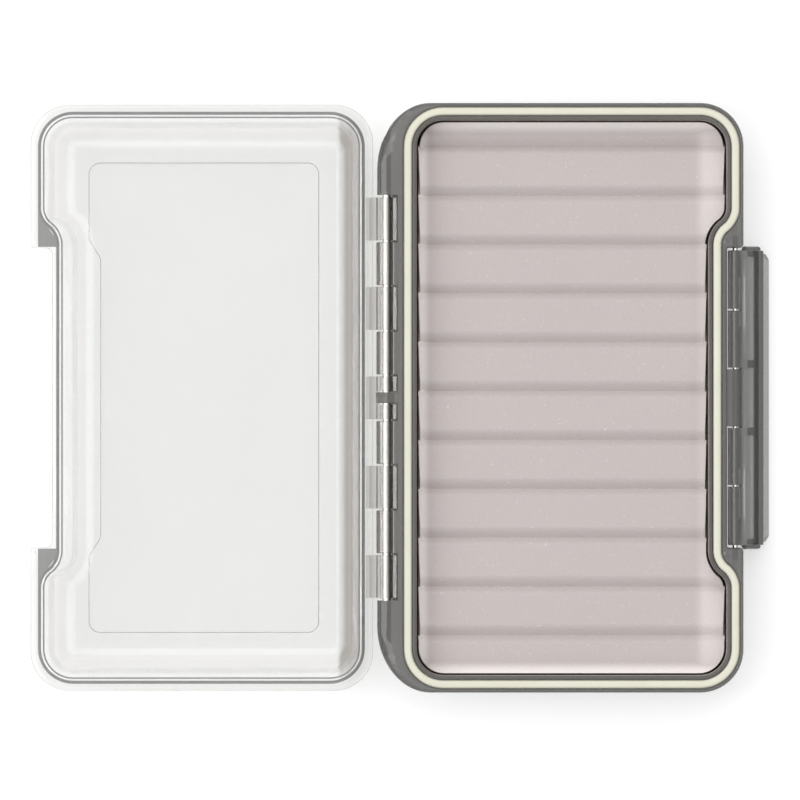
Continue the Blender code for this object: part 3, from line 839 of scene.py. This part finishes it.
@dataclass
class Latch:
    """The snap latch, drawn shut and upright, then turned down to where it hangs open."""

    barrel: ClassVar[float] = 2.0 * MM
    bore: ClassVar[float] = 0.8 * MM
    lug_half: ClassVar[float] = 7.3 * MM
    pin_half: ClassVar[float] = 41.0 * MM
    half: float = 37.5 * MM
    bar_half: float = 38.6 * MM
    lip_half: float = 36.7 * MM
    height: float = 17.2 * MM
    hang: float = math.radians(58.0)
    pocket_face: float = 0.75 * MM
    hook_low: float = 8.5 * MM

    def body(self) -> Solid:
        """Barrel, plate and hook in one profile, +X outwards.

        Returns:
            The body, with its thin lip and its hook in their own skins.
        """
        plate, rib, hook_high, hook_tip = 0.4 * MM, -0.05 * MM, 10.9 * MM, -1.8 * MM
        profile = [
            (self.barrel, 14.0 * MM),
            (1.6 * MM, 16.6 * MM),
            (1.15 * MM, self.height),
            (plate, self.height),
            (plate, hook_high),
            (hook_tip, hook_high),
            (hook_tip, self.hook_low),
            (rib, self.hook_low),
            (rib, 3.0 * MM),
            *arc(self.barrel, 126.87, 360, 28),
        ]
        bm = bmesh.new()
        add_prism(bm, profile, Way.Y, -self.half, self.half, 0.18 * MM)
        # Painted light and shade: the lip takes the paler thin finish, the hook's inner faces the darker hook
        # finish.
        for face in bm.faces:
            middle = face.calc_center_median()
            if middle.z > hook_high - 0.1 * MM:
                face.material_index = Skin.GLASSY.value
            elif middle.z > self.hook_low - 0.1 * MM and middle.x < plate:
                face.material_index = Skin.EDGE.value
        return bm

    def bar(self) -> Solid:
        """The thick bar across the plate, out past both of its ends, and the bead along its free side.

        Returns:
            Bar and bead in one solid.
        """
        bm = bmesh.new()
        back, front, low, high = 0.42 * MM, 1.98 * MM, 5.2 * MM, 13.6 * MM
        profile = rectangle(back, front, low, high)
        # The bar takes the darker hook finish: painted shade.
        add_prism(bm, profile, Way.Y, -self.bar_half, self.bar_half, 0.7 * MM, Skin.EDGE)
        # The bead takes the paler finish: a painted highlight along the bar's free side.
        bead = [(x + 0.4 * MM, z + 13.2 * MM) for x, z in circle(0.35 * MM, 12)]
        half = self.lip_half - 0.4 * MM
        add_prism(bm, bead, Way.Y, -half, half, skin=Skin.GLASSY)
        return bm

    def cuts(self) -> Solid:
        """The lug's gap, the barrel's splits and the pockets between the ribs.

        Returns:
            The cutters.
        """
        bm = bmesh.new()
        reach = 2 * self.barrel
        gap = self.lug_half + 0.35 * MM
        add_prism(bm, rectangle(-reach, reach, -reach, 3.15 * MM), Way.Y, -gap, gap)
        split, split_half = 22.4 * MM, 0.2 * MM
        for middle in (-split, split):
            low, high = middle - split_half, middle + split_half
            add_prism(bm, rectangle(-reach, reach, -reach, 2.6 * MM), Way.Y, low, high)
        pocket = rectangle(-self.barrel, self.pocket_face, 3.4 * MM, self.hook_low - 0.01 * MM)
        # The pocket floors take the paler thin finish: painted light through the thin plate.
        for low, high in ((-35.9, -9.6), (-7.6, 7.6), (9.6, 35.9)):
            add_prism(bm, pocket, Way.Y, low * MM, high * MM, skin=Skin.GLASSY)
        return bm

    def slits(self) -> Solid:
        """Two slits through the plate, in front of the lid's catches.

        Returns:
            The cutters.
        """
        near, far = 18.0 * MM, 30.7 * MM
        slit = rectangle(-5 * MM, 5 * MM, 4.9 * MM, 6.1 * MM)
        # The slits' faces take the near-clear pale slit finish: painted light.
        return prisms(slit, [(-far, -near), (near, far)], skin=Skin.WALL)

    def corners(self) -> Solid:
        """Cutters that narrow the lip, take its corners off, and clear the lid's lip at the bar's ends.

        Returns:
            The cutters.
        """
        bm = bmesh.new()
        start, slant, out = 13.9 * MM, 1.5 * MM, 8 * MM
        wedge = [
            (self.lip_half, start),
            (self.lip_half + out, start),
            (self.lip_half + out, self.height + out),
            (self.lip_half - slant, self.height + out),
            (self.lip_half - slant, self.height - 0.1 * MM),
            (self.lip_half, self.height - slant - 0.4 * MM),
        ]
        notch = rectangle(self.half + 0.2 * MM, self.half + out, 4.0 * MM, 6.3 * MM)
        for side in (-1, 1):
            for profile in (wedge, notch):
                add_prism(bm, [(side * y, z) for y, z in profile], Way.X, -5 * MM, 5 * MM)
        return bm

    def pin_bore(self) -> Solid:
        """The latch pin's bore."""
        half = self.half + 5 * MM
        return prisms(circle(self.bore), [(-half, half)])

    def build(self) -> Piece:
        """The latch as one closed skin, hanging open.

        Returns:
            The piece.
        """
        latch = piece("latch_moulding", self.body())
        shape_with(latch, [
            (Mould.ADD, self.bar()),
            (Mould.CUT, self.cuts()),
            (Mould.CUT, self.slits()),
            (Mould.CUT, self.corners()),
            (Mould.CUT, self.pin_bore()),
        ])
        turn = Matrix.Rotation(math.radians(90) + self.hang, 4, "Y")
        latch.data.transform(Matrix.Translation(LATCH) @ turn)
        smooth(latch)
        return latch


# ---- what lies in the tray ------------------------------------------------------------------------


@dataclass
class Gasket:
    """The ivory ring in the tray's groove."""

    half_width: float = 1.05 * MM
    bottom: float = 17.9 * MM
    top: float = 19.55 * MM

    def build(self) -> Piece:
        """A ring with round shoulders.

        Returns:
            The piece.
        """
        section = [
            Level(self.bottom, -self.half_width),
            Level(self.top, -self.half_width, rounding=0.6 * MM),
            Level(self.top, self.half_width, rounding=0.6 * MM),
            Level(self.bottom + DRAFT, self.half_width),
        ]
        bm = bmesh.new()
        loft(bm, [(SEAL, section)], closed=True)
        bmesh.ops.translate(bm, vec=(HINGE.x, 0, 0), verts=bm.verts)
        ring = piece("gasket_ring", bm)
        smooth(ring)
        return ring


@dataclass
class Foam:
    """The rippled foam block. Each valley slopes down gently towards -Y and ends at a steep, rounded step."""

    inset: float = 2.8 * MM
    slope: float = 0.3 * MM
    bottom: float = 2.45 * MM
    top: float = 12.5 * MM
    pitch: float = 12.44 * MM
    offset: float = 1.75 * MM
    ripples: int = 11
    valley_depth: float = 1.75 * MM
    slope_width: float = 2.9 * MM
    step_width: float = 2.3 * MM
    relaxed: float = 0.012

    def steps(self) -> list[float]:
        """Where the deepest line of each valley lies along Y."""
        return [self.offset + (i - (self.ripples - 1) / 2) * self.pitch for i in range(self.ripples)]

    def block(self) -> Solid:
        """The block before its valleys are cut, a little wider at its foot.

        Returns:
            The block.
        """
        bm = bmesh.new()
        foot = self.inset - self.slope
        levels = [Level(self.bottom, foot), Level(self.top - 3 * MM, foot), Level(self.top, self.inset)]
        loft(bm, [(SEAL, levels)])
        bmesh.ops.translate(bm, vec=(HINGE.x, 0, 0), verts=bm.verts)
        return bm

    def valleys(self) -> Solid:
        """A cutter for each valley.

        Returns:
            The cutters.
        """
        bm = bmesh.new()
        count = 9
        over = 0.01 * MM
        step_side = [
            (-self.step_width * (1 - i / count), self.valley_depth * (i / count) ** 2) for i in range(count)
        ]
        slope_side = [
            (self.slope_width * i / count, self.valley_depth * (1 - i / count) ** 1.7)
            for i in range(count + 1)
        ]
        wave = [(y, self.top + over - drop) for y, drop in step_side + slope_side]
        roof = self.top + 4 * MM
        for middle in self.steps():
            profile = [(-self.step_width, roof), *wave, (self.slope_width, roof)]
            profile = [(middle + y, z) for y, z in profile]
            add_prism(bm, profile, Way.X, HINGE.x, HINGE.x + SEAL.front + 5 * MM)
        return bm

    def relax(self, bm: Solid) -> None:
        """Lets each ripple draw in a little from its step to the next valley, which leaves toothed sides.

        Args:
            bm: the foam, which is changed.
        """
        for step in self.steps():
            for share in (0.3, 0.45, 0.6):
                everything = bm.verts[:] + bm.edges[:] + bm.faces[:]
                place = (0, step - share * self.pitch, 0)
                bmesh.ops.bisect_plane(bm, geom=everything, plane_co=place, plane_no=(0, 1, 0))
        middle = HINGE.x + (SEAL.rear + SEAL.front) / 2
        for vert in bm.verts:
            phase = ((self.offset - vert.co.y) / self.pitch) % 1.0
            vert.co.x = middle + (vert.co.x - middle) * (1 - self.relaxed * phase**1.5)

    def build(self) -> Piece:
        """The foam as one closed skin.

        Returns:
            The piece.
        """
        foam = piece("foam_pad", self.block())
        shape_with(foam, [(Mould.CUT, self.valleys())])
        bm = bmesh.new()
        bm.from_mesh(foam.data)
        self.relax(bm)
        bm.to_mesh(foam.data)
        bm.free()
        smooth(foam, 50.0)
        return foam


@dataclass
class Pin:
    """A steel pin along Y with domed ends."""

    name: str
    place: Vector
    half: float
    radius: float = 0.75 * MM

    def build(self) -> Piece:
        """The pin, its end edges rounded.

        Returns:
            The piece.
        """
        bm = bmesh.new()
        bmesh.ops.create_cone(bm, cap_ends=True, segments=40, radius1=self.radius, radius2=self.radius,
                              depth=2 * self.half)
        ends = [edge for edge in bm.edges if edge.calc_face_angle(0.0) > math.radians(60)]
        round_edges(bm, ends, 0.25 * MM)
        bmesh.ops.rotate(bm, matrix=Matrix.Rotation(math.radians(90), 3, "X"), verts=bm.verts)
        bmesh.ops.translate(bm, vec=self.place, verts=bm.verts)
        pin = piece(self.name, bm)
        smooth(pin)
        return pin


# ---- shader maths ---------------------------------------------------------------------------------


class Value:
    """One output socket, with Python's operators for Math nodes."""

    def __init__(self, nodes: Nodes, socket: Socket) -> None:
        """Wraps a socket of a node."""
        self.nodes = nodes
        self.socket = socket

    def __add__(self, other: Value | float) -> Value:
        """Sum."""
        return self.nodes.maths("ADD", self, other)

    __radd__ = __add__

    def __sub__(self, other: Value | float) -> Value:
        """Difference."""
        return self.nodes.maths("SUBTRACT", self, other)

    def __rsub__(self, other: float) -> Value:
        """Difference from a number."""
        return self.nodes.maths("SUBTRACT", other, self)

    def __mul__(self, other: Value | float) -> Value:
        """Product."""
        return self.nodes.maths("MULTIPLY", self, other)

    __rmul__ = __mul__

    def __pow__(self, other: float) -> Value:
        """Power."""
        return self.nodes.maths("POWER", self, other)


class Nodes:
    """The nodes of a material or of the world."""

    def __init__(self, tree: bpy.types.NodeTree) -> None:
        """Wraps a node tree."""
        self.tree = tree

    def node(self, kind: str, settings: dict | None = None, *ordered: object,
             **inputs: object) -> bpy.types.Node:
        """Adds a node.

        Args:
            kind: the node's type.
            settings: its properties, set first.
            ordered: what its first sockets get, in their order.
            inputs: what each named socket gets: a number, a colour, a vector, a socket or a Value.

        Returns:
            The node.
        """
        node = self.tree.nodes.new(kind)
        for name, setting in (settings or {}).items():
            setattr(node, name, setting)
        for socket, value in zip(node.inputs, ordered):
            self.fill(socket, value)
        for name, value in inputs.items():
            self.set_input(node, name, value)
        return node

    def fill(self, socket: Socket, value: object) -> None:
        """Links or sets a socket.

        Args:
            socket: the socket that gets the value.
            value: a number, a colour, a vector, another socket or a Value.
        """
        if isinstance(value, Value):
            value = value.socket
        if isinstance(value, Socket):
            self.tree.links.new(value, socket)
        else:
            socket.default_value = value

    def set_input(self, node: bpy.types.Node, name: str, value: object) -> None:
        """Fills the first enabled socket of a name, in which an underscore stands for a space."""
        name = name.replace("_", " ")
        self.fill(next(s for s in node.inputs if s.name == name and s.enabled), value)

    def maths(self, operation: str, first: Value | float, second: Value | float) -> Value:
        """Adds a Math node on two values."""
        return Value(self, self.node("ShaderNodeMath", {"operation": operation}, first, second).outputs[0])

    def ramp(self, value: Value, start: float, end: float) -> Value:
        """A smooth step from 0 to 1.

        Args:
            value: what is measured.
            start: where the step starts.
            end: where it ends, which may be less than the start.

        Returns:
            The share from 0 to 1.
        """
        settings = {"interpolation_type": "SMOOTHSTEP"}
        node = self.node("ShaderNodeMapRange", settings, Value=value, From_Min=start, From_Max=end)
        return Value(self, node.outputs["Result"])


class Shader(Nodes):
    """A material and the nodes in it."""

    def __init__(self, name: str) -> None:
        """Starts a material with a Principled BSDF.

        Args:
            name: the material's name.
        """
        self.material = bpy.data.materials.new(name)
        self.material.use_nodes = True
        super().__init__(self.material.node_tree)
        self.principled = self.tree.nodes["Principled BSDF"]

    def place(self, scale: Spot = (1, 1, 1)) -> Socket:
        """Object coordinates in millimetres.

        Args:
            scale: a factor for each axis.

        Returns:
            The vector's socket.
        """
        coordinates = self.node("ShaderNodeTexCoord").outputs["Object"]
        scaled = tuple(value / MM for value in scale)
        return self.node("ShaderNodeMapping", Vector=coordinates, Scale=scaled).outputs["Vector"]

    def noise(self, scale: float, detail: float = 2.0, stretch: Spot = (1, 1, 1)) -> Value:
        """Noise from 0 to 1 with a scale in features per millimetre."""
        node = self.node("ShaderNodeTexNoise", Vector=self.place(stretch), Scale=scale, Detail=detail)
        return Value(self, node.outputs["Fac"])

    def along(self, way: Way) -> Value:
        """Object coordinates along one axis.

        Args:
            way: the axis.

        Returns:
            The coordinate in metres.
        """
        coordinates = self.node("ShaderNodeTexCoord").outputs["Object"]
        parts = self.node("ShaderNodeSeparateXYZ", Vector=coordinates)
        return Value(self, parts.outputs[way.name])

    def blend(self, share: Value | float, low: Colour | Socket, high: Colour | Socket) -> Socket:
        """Mixes two colours.

        Args:
            share: how much of the second there is, from 0 to 1.
            low: the first colour.
            high: the second.

        Returns:
            The mixed colour's socket.
        """
        ends = [colour if isinstance(colour, Socket) else (*colour, 1) for colour in (low, high)]
        node = self.node("ShaderNodeMix", {"data_type": "RGBA"}, Factor=share, A=ends[0], B=ends[1])
        return next(s for s in node.outputs if s.enabled)

    def bump(self, height: Value, distance: float, strength: float) -> Socket:
        """A bump from a height of 0 to 1, whose full height is a distance in metres."""
        node = self.node("ShaderNodeBump", Height=height, Distance=distance, Strength=strength)
        return node.outputs["Normal"]

    def surface(self, **inputs: object) -> bpy.types.Material:
        """Fills sockets of the Principled BSDF.

        Args:
            inputs: what each named socket gets.

        Returns:
            The material.
        """
        for name, value in inputs.items():
            self.set_input(self.principled, name, value)
        return self.material


def rgb(red: int, green: int, blue: int) -> Colour:
    """Turns a display colour into linear light.

    Args:
        red: a channel of the display colour, from 0 to 255.
        green: another.
        blue: another.

    Returns:
        The linear colour.
    """
    linear = []
    for channel in (red, green, blue):
        share = channel / 255
        linear.append(share / 12.92 if share <= 0.04045 else ((share + 0.055) / 1.055) ** 2.4)
    return tuple(linear)


@dataclass(frozen=True)
class SeeThroughPlastic:
    """Moulded see-through plastic with a tint, faint flow marks and fine wear.

    The solidness is the share of light that the plastic bends; the rest goes straight through. The painted
    wall shade is a darker colour, with more solidness, painted where light crosses much of the wall, for its
    shade.
    """

    name: str
    tint: Colour
    stain: Colour
    roughness: float
    solidness: float
    clearness: float = 1.0
    flow_depth: float = 0.02 * MM
    painted_wall_shade: Colour | None = None

    def material(self) -> bpy.types.Material:
        """The finish as a material.

        Returns:
            The material.
        """
        shader = Shader(self.name)
        flow = shader.noise(0.03, 3.0)
        wear = shader.noise(0.6, 4.0)
        colour = shader.blend(flow ** 2.0, self.tint, self.stain)
        solidness = self.solidness
        # Painted shade: where a wall shade is set, the walls take its darker colour and more solidness by the
        # mask.
        if self.painted_wall_shade:
            painted_shade_share = self.painted_shade_share(shader)
            colour = shader.blend(painted_shade_share, colour, self.painted_wall_shade)
            solidness = solidness + painted_shade_share * 0.33
        rough = self.roughness + wear ** 3.0 * 0.06
        if self.flow_depth:
            shader.surface(Normal=shader.bump(shader.noise(0.08, 1.0), self.flow_depth, 0.5))
        return shader.surface(
            Base_Color=colour, Roughness=rough, IOR=1.49, Transmission_Weight=self.clearness,
            Alpha=solidness,
        )

    def painted_shade_share(self, shader: Shader) -> Value:
        """Where the painted shade lies: most in the lid's wall by the hinge and round its floor.

        Args:
            shader: the shader that gets the nodes.

        Returns:
            The share from 0 to 1.
        """
        rear_wall = shader.ramp(shader.along(Way.X), HINGE.x - 12.9 * MM, HINGE.x - 11.3 * MM)
        low_wall = shader.ramp(shader.along(Way.Z), 1.75 * MM, 2.3 * MM)
        low_wall = low_wall * shader.ramp(shader.along(Way.Z), 6.5 * MM, 3.0 * MM)
        return shader.maths("MAXIMUM", rear_wall, low_wall * 0.3)


@dataclass(frozen=True)
class SiliconeRubber:
    """Soft ivory rubber with a dry sheen."""

    colour: Colour
    shade: Colour

    def material(self) -> bpy.types.Material:
        """The finish as a material.

        Returns:
            The material.
        """
        shader = Shader("ivory_silicone")
        cloud = shader.noise(0.12, 3.0)
        grain = shader.noise(5.0, 2.0)
        return shader.surface(
            Base_Color=shader.blend(cloud, self.colour, self.shade),
            Roughness=0.42 + grain * 0.15,
            Normal=shader.bump(grain, 0.02 * MM, 0.4),
        )


@dataclass(frozen=True)
class ClosedCellFoam:
    """Matte foam with a skin of fine cells and pale specks."""

    colour: Colour
    shade: Colour
    speck: Colour
    painted_edge_light: Colour

    def painted_edge_light_share(self, shader: Shader) -> Value:
        """How near a point is to the block's sides, which take painted light; a third of it at the front.

        Args:
            shader: the shader that gets the nodes.

        Returns:
            The share, 1 at the sides.
        """
        x, y = shader.along(Way.X), shader.along(Way.Y)
        width = 3.2 * MM
        low = HINGE.x + SEAL.rear + Foam.inset
        high = HINGE.x + SEAL.recess - Foam.inset
        half = SEAL.half - Foam.inset
        front = 0.3 * shader.ramp(x, high - width, high)
        share = shader.maths("MAXIMUM", shader.ramp(x, low + width, low), front)
        for sign in (-1.0, 1.0):
            share = shader.maths("MAXIMUM", share, shader.ramp(y * sign, half - width, half))
        return share

    def material(self) -> bpy.types.Material:
        """The finish as a material.

        Returns:
            The material.
        """
        shader = Shader("closed_cell_foam")
        cells = shader.node("ShaderNodeTexVoronoi", Vector=shader.place(), Scale=2.6)
        cell = Value(shader, cells.outputs["Distance"])
        grain = shader.noise(1.6, 4.0)
        cloud = shader.noise(0.05, 2.0)
        mottle = shader.blend(cell * 0.5 + grain * 0.5, self.colour, self.shade)
        mottle = shader.blend(shader.ramp(shader.noise(1.8, 1.0), 0.7, 0.8), mottle, self.speck)
        height = cell * 0.6 + grain * 0.4
        skin = shader.blend(cloud * 0.4, mottle, self.shade)
        # Painted light: the block's sides blend towards a paler colour, against the shade of the tray's high
        # walls.
        return shader.surface(
            Base_Color=shader.blend(self.painted_edge_light_share(shader), skin, self.painted_edge_light),
            Roughness=0.88 + grain * 0.1,
            Sheen_Weight=0.15,
            Normal=shader.bump(height, 0.12 * MM, 0.6),
        )


@dataclass(frozen=True)
class DrawnSteel:
    """Bright wire with fine draw lines along Y."""

    colour: Colour

    def material(self) -> bpy.types.Material:
        """The finish as a material.

        Returns:
            The material.
        """
        shader = Shader("drawn_steel")
        lines = shader.noise(6.0, 2.0, (1.0, 0.03, 1.0))
        dull = tuple(0.8 * channel for channel in self.colour)
        return shader.surface(
            Base_Color=shader.blend(lines, self.colour, dull),
            Metallic=1.0,
            Roughness=0.16 + lines * 0.14,
            Normal=shader.bump(lines, 0.01 * MM, 0.4),
        )


@dataclass(frozen=True)
class AdhesiveFilm:
    """A thin milky film of glue."""

    colour: Colour

    def material(self) -> bpy.types.Material:
        """The finish as a material.

        Returns:
            The material.
        """
        shader = Shader("adhesive_film")
        cloud = shader.noise(0.2, 4.0)
        dark = tuple(0.85 * channel for channel in self.colour)
        return shader.surface(
            Base_Color=shader.blend(cloud, self.colour, dark), Roughness=0.45 + cloud * 0.2,
        )


CLEAR = SeeThroughPlastic(
    "clear_plastic", (0.765, 0.775, 0.75), (0.745, 0.75, 0.73),
    roughness=0.02, solidness=0.75,
)
# Painted shade: a darker copy of the clear plastic for the lid's walls, with painted wall shade by the hinge
# and round its floor.
CLEAR_WALL_PAINTED_SHADE = SeeThroughPlastic(
    "clear_plastic_wall_painted_shade", (0.66, 0.65, 0.63), (0.62, 0.6, 0.58),
    roughness=0.04, solidness=0.32, painted_wall_shade=(0.3, 0.27, 0.24),
)
# Painted shade: near-black clear plastic for the tongue's slopes, the panel's edge and the corner webs.
CLEAR_EDGE_PAINTED_SHADE = SeeThroughPlastic(
    "clear_plastic_edge_painted_shade", (0.05, 0.05, 0.05), (0.04, 0.04, 0.04),
    roughness=0.05, solidness=0.85, clearness=0.9,
)
# Painted shade: a darker copy of the clear plastic for the lid's knuckles.
CLEAR_KNUCKLE_PAINTED_SHADE = SeeThroughPlastic(
    "clear_plastic_knuckle_painted_shade", (0.62, 0.595, 0.565), (0.58, 0.555, 0.53),
    roughness=0.02, solidness=0.8, flow_depth=0.0,
)
# Painted shade: a still darker copy for the arms and the knuckles' side towards the tray.
CLEAR_ARM_PAINTED_SHADE = SeeThroughPlastic(
    "clear_plastic_arm_painted_shade", (0.42, 0.405, 0.385), (0.39, 0.375, 0.355),
    roughness=0.03, solidness=0.85, flow_depth=0.0,
)
SMOKE = SeeThroughPlastic(
    "smoke_plastic", (0.165, 0.16, 0.15), (0.142, 0.137, 0.127),
    roughness=0.06, solidness=0.88, clearness=0.5,
)
# Painted shade: an opaque, dull copy of the smoke plastic for the cavity wall, its colour set for the deep
# gap's shade.
SMOKE_GAP_PAINTED_SHADE = SeeThroughPlastic(
    "smoke_plastic_gap_painted_shade", (0.42, 0.39, 0.36), (0.38, 0.35, 0.32),
    roughness=0.3, solidness=1.0, clearness=0.0,
)
# Painted shade: a darker copy of the smoke plastic for the ledge beside the gap.
SMOKE_LEDGE_PAINTED_SHADE = SeeThroughPlastic(
    "smoke_plastic_ledge_painted_shade", (0.1, 0.09, 0.08), (0.088, 0.079, 0.07),
    roughness=0.12, solidness=1.0, clearness=0.3,
)
# Painted light: a paler copy of the smoke plastic for the tray's knuckles and their bore.
SMOKE_KNUCKLE_PAINTED_LIGHT = SeeThroughPlastic(
    "smoke_plastic_knuckle_painted_light", (0.72, 0.7, 0.665), (0.68, 0.66, 0.625),
    roughness=0.02, solidness=0.8, flow_depth=0.0,
)
LATCH_SMOKE = SeeThroughPlastic(
    "latch_smoke", (0.15, 0.148, 0.14), (0.125, 0.123, 0.115),
    roughness=0.06, solidness=0.88, clearness=0.5,
)
# Painted shade: a darker copy of the latch smoke for the thick bar and hook.
LATCH_HOOK_PAINTED_SHADE = SeeThroughPlastic(
    "latch_smoke_hook_painted_shade", (0.08, 0.081, 0.078), (0.068, 0.069, 0.066),
    roughness=0.08, solidness=0.95, clearness=0.4,
)
# Painted light: a paler copy of the latch smoke for the thin lip and pocket floors, and the bead's painted
# highlight.
LATCH_THIN_PAINTED_LIGHT = SeeThroughPlastic(
    "latch_smoke_thin_painted_light", (0.4, 0.415, 0.395), (0.36, 0.372, 0.355),
    roughness=0.05, solidness=0.7, clearness=0.6,
)
# Painted light: a near-clear pale copy of the latch smoke for the slits' faces.
LATCH_SLIT_PAINTED_LIGHT = SeeThroughPlastic(
    "latch_smoke_slit_painted_light", (0.9, 0.92, 0.89), (0.86, 0.88, 0.85),
    roughness=0.03, solidness=0.3, flow_depth=0.0,
)
IVORY = SiliconeRubber(rgb(214, 212, 196), rgb(206, 203, 185))
# The last colour is painted light for the foam's sides.
GREY_FOAM = ClosedCellFoam(
    rgb(196, 187, 185), rgb(177, 169, 168), rgb(215, 209, 207), rgb(245, 238, 236)
)
STEEL = DrawnSteel((0.72, 0.71, 0.69))
FILM = AdhesiveFilm(rgb(222, 218, 204))


# ---- the whole box --------------------------------------------------------------------------------


@dataclass
class Studio:
    """Pale glowing floor, soft light and a camera straight above.

    The surround is at its noon within a cone about the brightest way and at its dusk outside a wider one;
    noon_start and dusk_end are the cosines of their half angles.
    """

    camera_height: float = 6.0
    view_width: float = 203.6 * MM
    centre: tuple[float, float] = (-40.77 * MM, -0.57 * MM)
    floor_albedo: float = 0.5
    floor_glow: float = 0.55
    dusk: float = 0.3
    noon: float = 1.55
    dusk_end: float = 0.45
    noon_start: float = 0.95
    brightest: Spot = (-0.25, 0.12, 1.0)

    def floor(self) -> None:
        """A wide pale sheet that the box lies on, lit from inside so that shadows stay faint."""
        bm = bmesh.new()
        bmesh.ops.create_grid(bm, x_segments=4, y_segments=4, size=3.0)
        bmesh.ops.translate(bm, vec=(0, 0, -0.05 * MM), verts=bm.verts)
        sheet = piece("studio_floor", bm)
        shader = Shader("pale_floor")
        grey, white = (self.floor_albedo,) * 3, (1.0, 1.0, 1.0)
        sheet.data.materials[0] = shader.surface(
            Base_Color=(*grey, 1), Roughness=0.9,
            Emission_Color=(*white, 1), Emission_Strength=self.floor_glow,
        )

    def light(self, name: str, place: Spot, width: float, length: float, power: float) -> None:
        """A soft box that faces the fly box, its length along Y.

        Args:
            name: the lamp's name.
            place: where it stands.
            width: its size across Y.
            length: its size along Y.
            power: its light in watts.
        """
        lamp = bpy.data.lights.new(name, "AREA")
        lamp.shape = "RECTANGLE"
        lamp.size = width
        lamp.size_y = length
        lamp.energy = power
        holder = bpy.data.objects.new(name, lamp)
        holder.location = place
        holder.rotation_euler = Vector(place).to_track_quat("Z", "Y").to_euler()
        holder.visible_camera = False
        bpy.context.scene.collection.objects.link(holder)

    def world(self) -> None:
        """A white surround, brightest overhead and a little to the left, and dim by the horizon."""
        world = bpy.data.worlds.new("studio_world")
        world.use_nodes = True
        nodes = Nodes(world.node_tree)
        direction = nodes.node("ShaderNodeTexCoord").outputs["Generated"]
        towards = Vector(self.brightest).normalized()
        nearness = nodes.node("ShaderNodeVectorMath", {"operation": "DOT_PRODUCT"}, direction, towards)
        share = nodes.ramp(Value(nodes, nearness.outputs["Value"]), self.dusk_end, self.noon_start)
        background = world.node_tree.nodes["Background"]
        nodes.set_input(background, "Color", (1, 1, 1, 1))
        nodes.set_input(background, "Strength", self.dusk + share * (self.noon - self.dusk))
        bpy.context.scene.world = world

    def camera(self) -> None:
        """A long lens straight above, with the box's length up the picture."""
        camera = bpy.data.cameras.new("camera")
        camera.sensor_width = 36.0
        camera.lens = camera.sensor_width * self.camera_height / self.view_width
        holder = bpy.data.objects.new("camera", camera)
        holder.location = (*self.centre, self.camera_height + 15 * MM)
        bpy.context.scene.collection.objects.link(holder)
        bpy.context.scene.camera = holder

    def build(self) -> None:
        """Sets up the studio."""
        bpy.context.scene.view_settings.view_transform = "Standard"
        self.floor()
        self.world()
        self.light("top_soft_box", (0.0, 0.9, 1.6), width=1.4, length=1.4, power=8.0)
        self.light("left_strip", (-1.0, 0.0, 1.3), width=0.35, length=2.0, power=6.0)
        self.camera()


def dress(obj: Piece, finishes: list, body: str, slot: str, *nodes: str) -> None:
    """Gives a piece its finishes, its body and the CAD nodes that it stands for.

    Args:
        obj: the piece.
        finishes: an object with a material method for each skin that the piece has, in the skins' order.
        body: the body that it rides on.
        slot: the record's material slot; not used.
        nodes: the CAD nodes that it replaces.
    """
    for i, finish in enumerate(finishes):
        obj.data.materials[i] = finish.material()
    for _ in range(len(obj.data.materials) - len(finishes)):
        obj.data.materials.pop()
    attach(obj, body)
    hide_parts(*nodes)
    LOG.info("%s: %d faces on %s", obj.name, len(obj.data.polygons), body)


def main() -> None:
    """Builds the box and the studio."""
    logging.basicConfig(level=logging.INFO, format="%(message)s")
    Studio().build()
    smoke = [SMOKE, SMOKE_GAP_PAINTED_SHADE, SMOKE_KNUCKLE_PAINTED_LIGHT, SMOKE_LEDGE_PAINTED_SHADE]
    clear = [CLEAR, CLEAR_EDGE_PAINTED_SHADE, CLEAR_KNUCKLE_PAINTED_SHADE, CLEAR_WALL_PAINTED_SHADE, CLEAR_ARM_PAINTED_SHADE]
    latch = [LATCH_SMOKE, LATCH_HOOK_PAINTED_SHADE, LATCH_THIN_PAINTED_LIGHT, LATCH_SLIT_PAINTED_LIGHT]
    dress(Tray().build(), smoke, "tray", "smoke_plastic", "base_tray")
    dress(Lid().build(), clear, "lid", "clear_plastic", "clear_lid")
    dress(Gasket().build(), [IVORY], "tray", "gasket_rubber", "rim_gasket")
    foam = Foam().build()
    dress(foam, [GREY_FOAM], "tray", "foam", "ripple_foam")
    hinge_pin = Pin("hinge_wire", HINGE, Hinge.pin_half, Hinge.pin)
    latch_pin = Pin("latch_wire", LATCH, Latch.pin_half)
    dress(hinge_pin.build(), [STEEL], "tray", "pin_steel", "hinge_pin")
    dress(latch_pin.build(), [STEEL], "tray", "pin_steel", "latch_pin")
    dress(Latch().build(), latch, "latch", "latch_plastic", "front_latch")
    film = frame["nodes"]["foam_adhesive_sheet"]
    film.material_slots[0].material = FILM.material()


if __name__ == "__main__":
    main()
